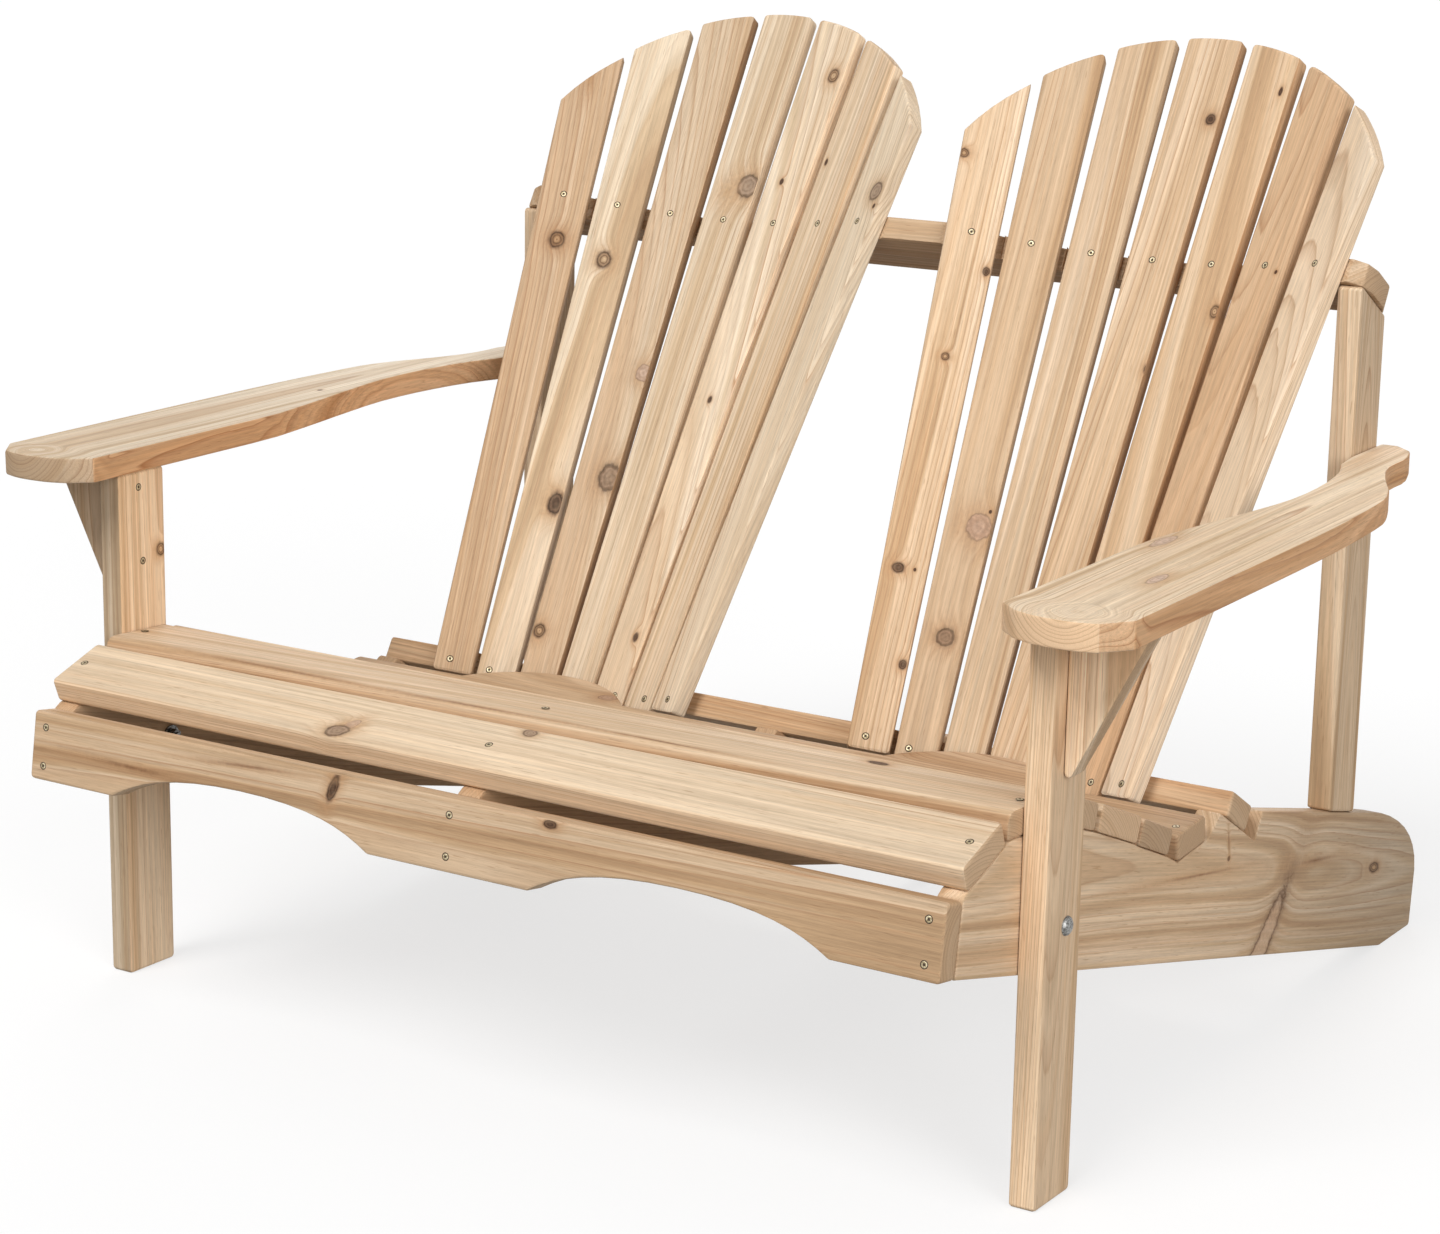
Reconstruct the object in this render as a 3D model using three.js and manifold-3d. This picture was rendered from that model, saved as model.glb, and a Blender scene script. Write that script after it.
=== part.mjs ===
// A two-seat adirondack loveseat in cedar boards: two fan backs over one sloping seat.
// Lengths are millimetres. +X is the sitter's left, +Y the back, +Z up, and the floor is z = 0.
// Left and right in the names are as seen from the front, so left lies at -X.
import * as THREE from "three";
import { mergeVertices } from "three/addons/utils/BufferGeometryUtils.js";
import Module from "manifold-3d";

const manifold = await Module();
manifold.setup();

// Boards, and the small clearance that every seated piece keeps to its neighbour
const boardThickness = 27;
const slatThickness = 19;
const railSpan = 1072;
const seatClearance = 0.3;
const edgeEase = 3;
const cornerRadius = 4.5;

// Front legs, and the bolt that joins each one to its side rail
const legDepth = 70;
const armHeight = 549;
const boltSetback = 41;
const boltHeight = 264;
const boltRadius = 4;
const boltHeadRadius = 9.5;
const boltHeadHeight = 5;
const boltTail = 3;
const washerRadius = 11;
const washerThickness = 2;
const nutAcrossCorners = 15;
const nutThickness = 6.5;

// Side rails: one sloping board each, with its heel cut flat on the floor
const railPitchDegrees = 14.1;
const railWidth = 152;
const railFrontReach = 114.8;
const railFrontHeight = 251;
const railHeel = 80;
const railTailReach = 16;
const railRearHeight = 66;
const railFootTuck = 7;
const railShoulderRun = 139;
const railTailHandleShares = { along: 0.59, down: 0.32 };
const toothRun = 33.3;
const toothRise = 20.45;
const toothFootRun = 5.5;
const toothFootRise = 1;
const notchDepth = 88;
const notchFrontLand = 13;

// Apron: the scalloped board across the front ends of the rails
const apronTiltDegrees = 8.47;
const apronHeight = 71.3;
const apronEndFlat = 113;
const apronCentreFlat = 190;
const apronArchRise = 33;
const archHandleShares = { crown: 0.55, spring: 0.8, rise: 0.58 };

// Seat boards from the front: run and rise step from the board before, then tilt and width
const frontSlat = { run: 7.5, rise: 4.9, tiltDegrees: 20, width: 73.5 };
const crestSlat = { run: 1, rise: 3, tiltDegrees: -2.5, width: 92.5 };
const thirdSlat = { run: 1.8, rise: -1.3, tiltDegrees: -19.8, width: 84 };
const fourthSlat = { run: 7, rise: -2.4, tiltDegrees: -21.5, width: 92 };
const fifthSlat = { run: 4.4, rise: -2.7, tiltDegrees: -22.4, width: 72 };
const rearBoard = { run: 23.4, rise: -11.7, tiltDegrees: 5, width: 63.2 };
const crestNoseRadius = 12;
const rearLobeHalfWidth = 110;
const rearLobeDepth = 54;

// Back frame: heights run up the back from the rail notches, depths forward from the tooth
const reclineDegrees = 30;
const slatsPerFan = 7;
const fanInnerReach = 74.6;
const fanEndSetback = 56.6;
const fanSplay = 56.1;
const lowerSlatGap = 4.5;
const upperSlatGap = 10.1;
const slatTail = 6.3;
const lowerArcRadius = 306;
const lowerFanDepth = 28;
const upperArcRadius = 531;
const upperFanDepth = 31;
const crownShoulder = 64.6;
const crownCentreLevel = 594.8;
const upperRailLevel = 574.3;
const upperRailFront = 7;
const upperRailDepth = 86;
const backRailOverhang = 4;
const lowerRailCornerCut = 36;
const lowerRailCornerInset = 20;
const upperRailNose = 28;
const upperRailNoseShares = { front: 0.7, middle: 0.2, middleDepth: 0.36 };
const upperRailTailCut = 22;
const upperRailTailInset = 9;
const slatJointMargin = 1;
const fanFadeMargin = 70;

// Rear posts and arms
const postDepth = 70;
const postInset = 2;
const armRiseDegrees = 1;
const armWidth = 126;
const armInnerOverhang = 6.8;
const armFrontReach = 70;
const armTailReach = 9;
const bracketWidth = 78;
const bracketHeight = 156;
const bracketTip = 6;

// Outline of an arm: shares of its width outward, and of its length from the front. Flat facets
// run from the ends of the nose to the corners.
const armNoseShares = [
  [0.17, 0.0115],
  [0.33, 0.003],
  [0.5, 0],
  [0.68, 0.001],
  [0.83, 0.008],
];
const armOuterShares = [
  [1, 0.04],
  [1, 0.23],
  [1, 0.466],
  [0.978, 0.589],
  [0.93, 0.692],
  [0.875, 0.728],
];
const armShoulderShares = [
  [0.8, 0.759],
  [0.6, 0.82],
  [0.48, 0.877],
  [0.465, 0.933],
  [0.37, 0.98],
];
const armTailShares = [
  [0.22, 1],
  [0.039, 1],
];
const armWaistShares = [
  [0.1, 0.858],
  [0.22, 0.808],
  [0.3, 0.727],
  [0.305, 0.641],
  [0.22, 0.554],
  [0.1, 0.456],
  [0.015, 0.376],
];
const armInnerShares = [
  [0, 0.323],
  [0, 0.179],
  [0, 0.0335],
];

// Fineness of the facets
const easeSteps = 2;
const cornerSteps = 3;
const domeSteps = 4;
const curveSteps = 8;
const stepsPerArmPoint = 2;
const crownSteps = 5;
const roundSides = 16;
const hexSides = 6;
const cornerTurnDegrees = 25;
const weldDistance = 1e-4;

// Sizes that follow from the ones above
const radians = THREE.MathUtils.degToRad;
const halfSpan = railSpan / 2;
const railPitch = radians(railPitchDegrees);
const apronTilt = radians(apronTiltDegrees);
const recline = radians(reclineDegrees);
const armRise = radians(armRiseDegrees);
const legInnerFace = halfSpan + seatClearance;
const legOuterFace = legInnerFace + boardThickness;
const fanMiddle = (fanInnerReach + halfSpan - fanEndSetback) / 2;
const upperFanHalf = fanMiddle - fanInnerReach;
const lowerFanHalf = upperFanHalf - fanSplay;
const fanReach = (slatsPerFan - 1) / 2;
const upperStep = Math.asin(upperFanHalf / upperArcRadius) / fanReach;
const lowerStep = Math.asin(lowerFanHalf / lowerArcRadius) / fanReach;
const crownRadius = upperFanHalf + crownShoulder;

const wood = {
  board: new THREE.MeshStandardMaterial({ color: 0xd8b58a, roughness: 0.72, metalness: 0 }),
  edge: new THREE.MeshStandardMaterial({ color: 0xc69a70, roughness: 0.76, metalness: 0 }),
  slat: new THREE.MeshStandardMaterial({ color: 0xddbd95, roughness: 0.7, metalness: 0 }),
};
const steel = new THREE.MeshStandardMaterial({ color: 0xb4b6b8, roughness: 0.35, metalness: 1 });

const point = (x, y) => new THREE.Vector2(x, y);
const along = (start, angle, distance) =>
  point(start.x + Math.cos(angle) * distance, start.y + Math.sin(angle) * distance);

// Where a line from one point at one angle meets another line.
function crossing(first, firstAngle, second, secondAngle) {
  const direction = point(Math.cos(firstAngle), Math.sin(firstAngle));
  const other = point(Math.cos(secondAngle), Math.sin(secondAngle));
  const between = second.clone().sub(first);
  return along(first, firstAngle, between.cross(other) / direction.cross(other));
}

// The arc that rounds an outward corner. An inward corner stays as it is, for the piece that seats in
// it, and so does one whose sides are too short or nearly in line.
function roundedCorner(before, corner, after, radius) {
  const arriving = corner.clone().sub(before);
  const leaving = after.clone().sub(corner);
  const room = Math.min(arriving.length(), leaving.length());
  arriving.normalize();
  leaving.normalize();
  const turn = Math.atan2(arriving.cross(leaving), arriving.dot(leaving));
  const trim = radius * Math.tan(turn / 2);
  if (turn < radians(cornerTurnDegrees) || 2 * trim > room || radius <= edgeEase) {
    return [corner];
  }
  const start = corner.clone().addScaledVector(arriving, -trim);
  const outward = arriving.angle() - Math.PI / 2;
  const centre = along(start, outward, -radius);
  return Array.from({ length: cornerSteps + 1 }, (_, step) =>
    along(centre, outward + (turn * step) / cornerSteps, radius),
  );
}

function softened(corners) {
  return corners.flatMap((corner, i) =>
    roundedCorner(
      corners[(i + corners.length - 1) % corners.length],
      corner,
      corners[(i + 1) % corners.length],
      cornerRadius,
    ),
  );
}

// A board of this outline, counterclockwise, from z = 0 to z = thickness, with its edges eased.
function boardFrom(outline, thickness = boardThickness) {
  const ease = Math.min(edgeEase, thickness / 4);
  const geometry = new THREE.ExtrudeGeometry(new THREE.Shape(outline), {
    depth: thickness - 2 * ease,
    bevelEnabled: true,
    bevelThickness: ease,
    bevelSize: ease,
    bevelOffset: -ease,
    bevelSegments: easeSteps,
    steps: 1,
  });
  return geometry.translate(0, 0, ease);
}

const basis = (x, y, z) => new THREE.Matrix4().makeBasis(x, y, z);
const axisX = new THREE.Vector3(1, 0, 0);
const axisY = new THREE.Vector3(0, 1, 0);
const axisZ = new THREE.Vector3(0, 0, 1);

// Stands a side profile (depth, height) up so that its thickness runs along X from the given face.
const asSideBoard = (geometry, innerFace) =>
  geometry.applyMatrix4(basis(axisY, axisZ, axisX)).translate(innerFace, 0, 0);

function solidFrom(geometry) {
  const bare = geometry.clone();
  bare.deleteAttribute("normal");
  bare.deleteAttribute("uv");
  const merged = mergeVertices(bare, weldDistance);
  return new manifold.Manifold(
    new manifold.Mesh({
      numProp: 3,
      vertProperties: merged.attributes.position.array,
      triVerts: new Uint32Array(merged.index.array),
    }),
  );
}

function geometryFrom(solid) {
  const mesh = solid.getMesh();
  const geometry = new THREE.BufferGeometry();
  geometry.setAttribute("position", new THREE.BufferAttribute(mesh.vertProperties, 3));
  geometry.setIndex(new THREE.BufferAttribute(mesh.triVerts, 1));
  const faceted = geometry.toNonIndexed();
  faceted.computeVertexNormals();
  return faceted;
}

const cut = (geometry, cutters) =>
  geometryFrom(
    cutters.reduce((solid, cutter) => solid.subtract(solidFrom(cutter)), solidFrom(geometry)),
  );

function named(name, geometry, material) {
  const mesh = new THREE.Mesh(geometry, material);
  mesh.name = name;
  return mesh;
}

const pair = [
  { name: "left", side: -1 },
  { name: "right", side: 1 },
];

// The profile of each seat board: its underside corners and its tilt, from the front backwards.
const railFrontBottom = point(-railFrontReach, railFrontHeight);
const railFrontTop = along(railFrontBottom, Math.PI / 2 - apronTilt, apronHeight);

function layOut(boards, start) {
  let last = start;
  return boards.map(({ run, rise, tiltDegrees, width }) => {
    const front = point(last.x + run, last.y + rise);
    const tilt = radians(tiltDegrees);
    const rear = along(front, tilt, width);
    last = rear;
    return { front, rear, tilt, width };
  });
}

const seatRows = layOut(
  [frontSlat, crestSlat, thirdSlat, fourthSlat, fifthSlat, rearBoard],
  railFrontTop,
);
const rearRow = seatRows[seatRows.length - 1];
const toothTop = point(rearRow.rear.x + toothRun, rearRow.rear.y + toothRise);
const backFloorAngle = -recline;
const backRiseAngle = Math.PI / 2 - recline;

const heelFront = crossing(railFrontBottom, -railPitch, point(0, 0), 0);
const heelRear = point(heelFront.x + railHeel, 0);

// The side rail's outline: slat seats, the notch for the lower back rail, and a rounded tail.
function railOutline() {
  const seats = seatRows.flatMap(({ front, rear, tilt }) => [
    along(front, tilt - Math.PI / 2, seatClearance),
    along(rear, tilt - Math.PI / 2, seatClearance),
  ]);
  const notchRear = along(
    toothTop,
    backFloorAngle,
    notchFrontLand + notchDepth + seatClearance,
  );
  const topLine = along(railFrontBottom, Math.PI / 2 - railPitch, railWidth);
  const notchTop = crossing(notchRear, backRiseAngle, topLine, -railPitch);
  const rearmost = point(heelRear.x + railTailReach, railRearHeight);
  const shoulder = crossing(
    topLine,
    -railPitch,
    point(rearmost.x - railShoulderRun, 0),
    Math.PI / 2,
  );
  const tail = new THREE.CubicBezierCurve(
    shoulder,
    along(shoulder, -railPitch, railShoulderRun * railTailHandleShares.along),
    point(rearmost.x, rearmost.y + railShoulderRun * railTailHandleShares.down),
    rearmost,
  ).getPoints(curveSteps);
  const tuck = crossing(rearmost, Math.atan2(-railRearHeight, -railFootTuck), heelRear, 0);
  return softened([
    railFrontTop,
    railFrontBottom,
    heelFront,
    tuck,
    ...tail.reverse(),
    notchTop,
    notchRear,
    toothTop,
    point(rearRow.rear.x + toothFootRun, rearRow.rear.y + toothFootRise),
    ...seats.reverse(),
  ]);
}

const roundHole = (radius, length) =>
  new THREE.CylinderGeometry(
    radius / Math.cos(Math.PI / roundSides),
    radius / Math.cos(Math.PI / roundSides),
    length,
    roundSides,
  );

// A clearance hole along X for the leg bolt.
const boltHole = (middle) =>
  roundHole(boltRadius + seatClearance, 2 * boardThickness)
    .rotateZ(Math.PI / 2)
    .translate(middle, boltSetback, boltHeight);

function sideRails() {
  const profile = boardFrom(railOutline());
  const centre = asSideBoard(profile.clone(), -boardThickness / 2);
  const outer = pair.map(({ name, side }) => {
    const inner = side > 0 ? halfSpan - boardThickness : -halfSpan;
    const rail = asSideBoard(profile.clone(), inner);
    const hole = boltHole(inner + boardThickness / 2);
    return named(`side_rail_${name}`, cut(rail, [hole]), wood.edge);
  });
  return [...outer, named("side_rail_centre", centre, wood.edge)];
}

function frontLegs() {
  const top = (depth) => armHeight + depth * Math.tan(armRise) - seatClearance;
  const outline = [
    point(0, 0),
    point(legDepth, 0),
    point(legDepth, top(legDepth)),
    point(0, top(0)),
  ];
  return pair.map(({ name, side }) => {
    const inner = side > 0 ? legInnerFace : -legOuterFace;
    const leg = asSideBoard(boardFrom(softened(outline)), inner);
    const hole = boltHole(inner + boardThickness / 2);
    return named(`front_leg_${name}`, cut(leg, [hole]), wood.board);
  });
}

// A carriage bolt: a low dome on a plain shank, turned about its own axis.
function boltGeometry() {
  const reach = 2 * boardThickness + seatClearance + washerThickness + nutThickness + boltTail;
  const dome = Array.from({ length: domeSteps + 1 }, (_, step) => {
    const angle = (step / domeSteps) * (Math.PI / 2);
    return point(Math.cos(angle) * boltHeadRadius, seatClearance + Math.sin(angle) * boltHeadHeight);
  });
  dome[domeSteps].x = 0;
  return new THREE.LatheGeometry(
    [point(0, -reach), point(boltRadius, -reach), point(boltRadius, seatClearance), ...dome],
    roundSides,
  );
}

function ringGeometry(outer, inner, thickness, sides) {
  const ring = new THREE.Shape();
  ring.absarc(0, 0, outer, 0, 2 * Math.PI);
  const shape = new THREE.Shape(ring.getPoints(sides / 2));
  const hole = new THREE.Path();
  hole.absarc(0, 0, inner, 0, 2 * Math.PI, true);
  shape.holes.push(new THREE.Path(hole.getPoints(roundSides / 2)));
  return new THREE.ExtrudeGeometry(shape, { depth: thickness, bevelEnabled: false });
}

function legFixings() {
  const washerFace = halfSpan - boardThickness - seatClearance;
  const holeRadius = (boltRadius + seatClearance) / Math.cos(Math.PI / roundSides);
  return pair.flatMap(({ name, side }) => {
    const place = (mesh, x) => {
      mesh.rotation.y = (side * Math.PI) / 2;
      mesh.position.set(side * x, boltSetback, boltHeight);
      return mesh;
    };
    const bolt = named(`leg_bolt_${name}`, boltGeometry().rotateX(Math.PI / 2), steel);
    const washer = ringGeometry(washerRadius, holeRadius, washerThickness, roundSides);
    const nut = ringGeometry(nutAcrossCorners / 2, holeRadius, nutThickness, hexSides);
    return [
      place(bolt, legOuterFace),
      place(named(`leg_bolt_washer_${name}`, washer, steel), washerFace - washerThickness),
      place(
        named(`leg_bolt_nut_${name}`, nut, steel),
        washerFace - washerThickness - seatClearance - nutThickness,
      ),
    ];
  });
}

// One half of an arch in the apron's lower edge, from its crown to where it meets the flat.
function archHalf(crownX, springX) {
  const run = springX - crownX;
  return new THREE.CubicBezierCurve(
    point(crownX, apronArchRise),
    point(crownX + run * archHandleShares.crown, apronArchRise),
    point(crownX + run * archHandleShares.spring, apronArchRise * archHandleShares.rise),
    point(springX, 0),
  ).getPoints(curveSteps);
}

function apron() {
  const outerSpring = halfSpan - apronEndFlat;
  const innerSpring = apronCentreFlat / 2;
  const crown = (outerSpring + innerSpring) / 2;
  const rightArch = [
    ...archHalf(crown, innerSpring).reverse(),
    ...archHalf(crown, outerSpring).slice(1),
  ];
  const leftArch = rightArch.map(({ x, y }) => point(-x, y)).reverse();
  const outline = softened([
    point(-halfSpan, 0),
    ...leftArch,
    ...rightArch,
    point(halfSpan, 0),
    point(halfSpan, apronHeight),
    point(-halfSpan, apronHeight),
  ]);
  const mesh = named("apron", boardFrom(outline), wood.board);
  mesh.rotation.x = Math.PI / 2 - apronTilt;
  mesh.position.set(0, railFrontBottom.x, railFrontBottom.y);
  mesh.translateZ(seatClearance);
  return mesh;
}

// A seat slat, with the front corners of its profile rounded to the given radius.
function seatSlat(name, row, noseRadius) {
  const corners = [
    point(0, 0),
    point(row.width, 0),
    point(row.width, boardThickness),
    point(0, boardThickness),
  ];
  const profile = corners.flatMap((corner, i) =>
    roundedCorner(
      corners[(i + 3) % 4],
      corner,
      corners[(i + 1) % 4],
      i === 3 ? noseRadius : cornerRadius,
    ),
  );
  const geometry = boardFrom(profile, railSpan);
  const mesh = named(name, asSideBoard(geometry, -halfSpan), wood.board);
  mesh.position.set(0, row.front.x, row.front.y);
  mesh.rotation.x = row.tilt;
  return mesh;
}

// The rearmost seat board: its back edge swells into a round lobe under each fan.
function rearSeatBoard() {
  const radius = (rearLobeHalfWidth ** 2 + rearLobeDepth ** 2) / (2 * rearLobeDepth);
  const sweep = Math.asin(rearLobeHalfWidth / radius);
  const lobe = (middle) =>
    Array.from({ length: 2 * curveSteps + 1 }, (_, step) => {
      const angle = sweep * (1 - step / curveSteps);
      return point(
        middle + Math.sin(angle) * radius,
        rearRow.width + rearLobeDepth - radius + Math.cos(angle) * radius,
      );
    });
  const outline = softened([
    point(-halfSpan, 0),
    point(halfSpan, 0),
    point(halfSpan, rearRow.width),
    ...lobe(fanMiddle),
    ...lobe(-fanMiddle),
    point(-halfSpan, rearRow.width),
  ]);
  const mesh = named("rear_seat_board", boardFrom(outline), wood.board);
  mesh.position.set(0, rearRow.front.x, rearRow.front.y);
  mesh.rotation.x = rearRow.tilt;
  return mesh;
}

function seat() {
  const slats = seatRows
    .slice(0, -1)
    .map((row, i) => seatSlat(`seat_slat_${i + 1}`, row, i === 1 ? crestNoseRadius : cornerRadius));
  return [...slats, rearSeatBoard()];
}

// The heights at which a slat crosses the middle of each back rail.
const lowerSlatLevel = boardThickness / 2 + seatClearance;
const upperSlatLevel = upperRailLevel + boardThickness / 2;

// Where one slat of a fan lies in the back frame: x across, y up the back, z forward.
function slatFrame(place, middle) {
  const station = (radius, step, depth, level) => {
    const angle = place * step;
    return {
      angle,
      centre: new THREE.Vector3(
        middle + radius * Math.sin(angle),
        level,
        radius * (1 - Math.cos(angle)) - depth,
      ),
    };
  };
  const lower = station(lowerArcRadius, lowerStep, lowerFanDepth, lowerSlatLevel);
  const upper = station(upperArcRadius, upperStep, upperFanDepth, upperSlatLevel);
  const facing = (lower.angle + upper.angle) / 2;
  const length = upper.centre.clone().sub(lower.centre).normalize();
  const width = new THREE.Vector3(Math.cos(facing), 0, Math.sin(facing));
  width.addScaledVector(length, -width.dot(length)).normalize();
  const front = width.clone().cross(length);
  return {
    origin: lower.centre,
    length,
    width,
    matrix: basis(width, length, front).setPosition(lower.centre),
    bottom: -(lowerSlatLevel + slatTail),
  };
}

// How far up a slat the crown circle of its fan cuts it, a given distance off its centre line.
function crownHeight(frame, middle, offset) {
  const start = frame.origin.clone().addScaledVector(frame.width, offset);
  const across = start.x - middle;
  const up = start.y - crownCentreLevel;
  const a = frame.length.x ** 2 + frame.length.y ** 2;
  const b = across * frame.length.x + up * frame.length.y;
  const c = across ** 2 + up ** 2 - crownRadius ** 2;
  return (-b + Math.sqrt(b ** 2 - a * c)) / a;
}

// Half the width of a slat at a height above the lower rail's middle.
const lowerSlatWidth = lowerStep * lowerArcRadius - lowerSlatGap;
const upperSlatWidth = upperStep * upperArcRadius - upperSlatGap;
const halfWidthAt = (height) =>
  THREE.MathUtils.mapLinear(
    height,
    0,
    upperSlatLevel - lowerSlatLevel,
    lowerSlatWidth,
    upperSlatWidth,
  ) / 2;

function backSlatOutline(frame, middle) {
  const halfTop = (side) => {
    const nearly = crownHeight(frame, middle, (side * upperSlatWidth) / 2);
    return halfWidthAt(crownHeight(frame, middle, side * halfWidthAt(nearly)));
  };
  const leftHalf = halfTop(-1);
  const rightHalf = halfTop(1);
  const crown = Array.from({ length: crownSteps + 1 }, (_, step) => {
    const offset = rightHalf - (step / crownSteps) * (leftHalf + rightHalf);
    return point(offset, crownHeight(frame, middle, offset));
  });
  const halfBottom = halfWidthAt(frame.bottom);
  return softened([
    point(-halfBottom, frame.bottom),
    point(halfBottom, frame.bottom),
    ...crown,
  ]);
}

// The space that a slat needs in a back rail, from its back face forward.
function slatClearanceBody(frame, place) {
  const outermost = Math.abs(place) === fanReach;
  const edge = (height, side) => {
    const fades = outermost && side * place > 0;
    const joint = THREE.MathUtils.mapLinear(
      height,
      0,
      upperSlatLevel - lowerSlatLevel,
      lowerSlatGap,
      upperSlatGap,
    );
    const margin = fades ? fanFadeMargin : joint / 2 + slatJointMargin;
    return point(side * (halfWidthAt(height) + margin), height);
  };
  const top = crownCentreLevel + crownRadius;
  const shape = new THREE.Shape([
    edge(frame.bottom, -1),
    edge(frame.bottom, 1),
    edge(top, 1),
    edge(top, -1),
  ]);
  return new THREE.ExtrudeGeometry(shape, {
    depth: upperRailDepth + slatThickness + seatClearance,
    bevelEnabled: false,
  })
    .translate(0, 0, -slatThickness - seatClearance)
    .applyMatrix4(frame.matrix);
}

// Turns a plan outline, drawn as x across and y backward, into a rail lying across the back.
const asBackRail = (outline, level) =>
  boardFrom(softened(outline))
    .rotateX(-Math.PI / 2)
    .translate(0, level, 0);

function lowerBackRail(cutters) {
  const half = halfSpan + backRailOverhang / 2;
  const front = notchFrontLand;
  const rear = notchFrontLand + notchDepth;
  const outline = [
    point(-half, front),
    point(half, front),
    point(half, rear - lowerRailCornerCut),
    point(half - lowerRailCornerInset, rear),
    point(-half + lowerRailCornerInset, rear),
    point(-half, rear - lowerRailCornerCut),
  ];
  return named("lower_back_rail", cut(asBackRail(outline, seatClearance), cutters), wood.edge);
}

function upperBackRail(cutters) {
  const half = halfSpan + backRailOverhang;
  const rear = upperRailDepth - upperRailFront;
  const outlineHalf = [
    point(half - upperRailNose * upperRailNoseShares.front, -upperRailFront),
    point(
      half - upperRailNose * upperRailNoseShares.middle,
      upperRailNose * upperRailNoseShares.middleDepth - upperRailFront,
    ),
    point(half, upperRailNose - upperRailFront),
    point(half, rear - upperRailTailCut),
    point(half - upperRailTailInset, rear),
  ];
  const outline = [
    ...outlineHalf,
    ...outlineHalf.map(({ x, y }) => point(-x, y)).reverse(),
  ];
  return named(
    "upper_back_rail",
    cut(asBackRail(outline, upperRailLevel), cutters),
    wood.edge,
  );
}

// Both fans and the two rails that carry them, in a group that leans back as one.
function back() {
  const group = new THREE.Group();
  const cutters = [];
  for (const { name, side } of pair) {
    const middle = side * fanMiddle;
    for (let place = -fanReach; place <= fanReach; place += 1) {
      const frame = slatFrame(place, middle);
      const outline = backSlatOutline(frame, middle);
      const geometry = boardFrom(outline, slatThickness)
        .translate(0, 0, -slatThickness)
        .applyMatrix4(frame.matrix);
      group.add(named(`back_slat_${name}_${place + fanReach + 1}`, geometry, wood.slat));
      cutters.push(slatClearanceBody(frame, place));
    }
  }
  group.add(lowerBackRail(cutters), upperBackRail(cutters));
  group.rotation.x = backRiseAngle;
  group.position.set(0, toothTop.x, toothTop.y);
  return group;
}

// A point of the side view on the upper rail's underside, a given distance behind its front edge.
function upperRailUnderside(setback) {
  const level = along(toothTop, backRiseAngle, upperRailLevel - seatClearance);
  return along(level, backFloorAngle, setback - upperRailFront);
}

const postFront = upperRailUnderside(0).x + postInset;

function rearPosts() {
  const railTop = along(
    railFrontBottom,
    Math.PI / 2 - railPitch,
    railWidth + seatClearance,
  );
  const foot = (depth) => crossing(railTop, -railPitch, point(depth, 0), Math.PI / 2);
  const head = (depth) =>
    crossing(upperRailUnderside(0), backFloorAngle, point(depth, 0), Math.PI / 2);
  const outline = [
    foot(postFront),
    foot(postFront + postDepth),
    head(postFront + postDepth),
    head(postFront),
  ];
  return pair.map(({ name, side }) => {
    const inner = side > 0 ? halfSpan - boardThickness : -halfSpan;
    return named(
      `rear_post_${name}`,
      asSideBoard(boardFrom(softened(outline)), inner),
      wood.board,
    );
  });
}

function armOutline() {
  const inner = legInnerFace - armInnerOverhang;
  const length = armFrontReach + postFront + postDepth + armTailReach;
  const place = ([across, back]) =>
    point(inner + across * armWidth, back * length - armFrontReach);
  const smooth = (shares) =>
    new THREE.SplineCurve(shares.map(place)).getPoints(shares.length * stepsPerArmPoint);
  const postCorner = point(legInnerFace, postFront - seatClearance);
  const tail = armTailShares.map(place);
  tail[tail.length - 1].x = legInnerFace;
  return [
    ...smooth(armNoseShares),
    ...smooth(armOuterShares),
    ...smooth(armShoulderShares),
    ...tail,
    postCorner,
    ...smooth(armWaistShares),
    ...armInnerShares.map(place),
  ];
}

function arms() {
  const outline = armOutline();
  return pair.map(({ name, side }) => {
    const shaped =
      side > 0 ? outline : outline.map(({ x, y }) => point(-x, y)).reverse();
    const mesh = named(`arm_${name}`, boardFrom(softened(shaped)), wood.board);
    mesh.position.z = armHeight;
    mesh.rotation.x = armRise;
    return mesh;
  });
}

// Triangular brackets under the arms, each against the outer face of its leg.
function armBrackets() {
  const setback = (legDepth - boardThickness) / 2;
  const top = armHeight + setback * Math.tan(armRise) - seatClearance;
  const inner = legOuterFace + seatClearance;
  const right = [
    point(inner, top - bracketHeight),
    point(inner + bracketWidth, top - bracketTip),
    point(inner + bracketWidth, top),
    point(inner, top),
  ];
  return pair.map(({ name, side }) => {
    const outline = side > 0 ? right : right.map(({ x, y }) => point(-x, y)).reverse();
    const mesh = named(`arm_bracket_${name}`, boardFrom(softened(outline)), wood.edge);
    mesh.rotation.x = Math.PI / 2;
    mesh.position.y = setback + boardThickness;
    return mesh;
  });
}

// The frame's origin lies on the floor under the middle of the whole loveseat.
const frontmost = along(railFrontBottom, Math.PI - apronTilt, boardThickness + seatClearance).x;
const loveseat = new THREE.Group();
loveseat.add(
  ...sideRails(),
  ...frontLegs(),
  ...legFixings(),
  apron(),
  ...seat(),
  back(),
  ...rearPosts(),
  ...arms(),
  ...armBrackets(),
);
loveseat.position.y = -(frontmost + heelRear.x + railTailReach) / 2;

const model = new THREE.Group();
model.add(loveseat);
export default model;
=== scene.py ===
"""Dresses the adirondack loveseat: sanded cedar boards, screw heads, bolts, floor, light and camera."""

import logging
import math
import random
from dataclasses import dataclass, field
from enum import Enum

import bmesh
import bpy
import numpy as np
from mathutils import Matrix, Vector

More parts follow.
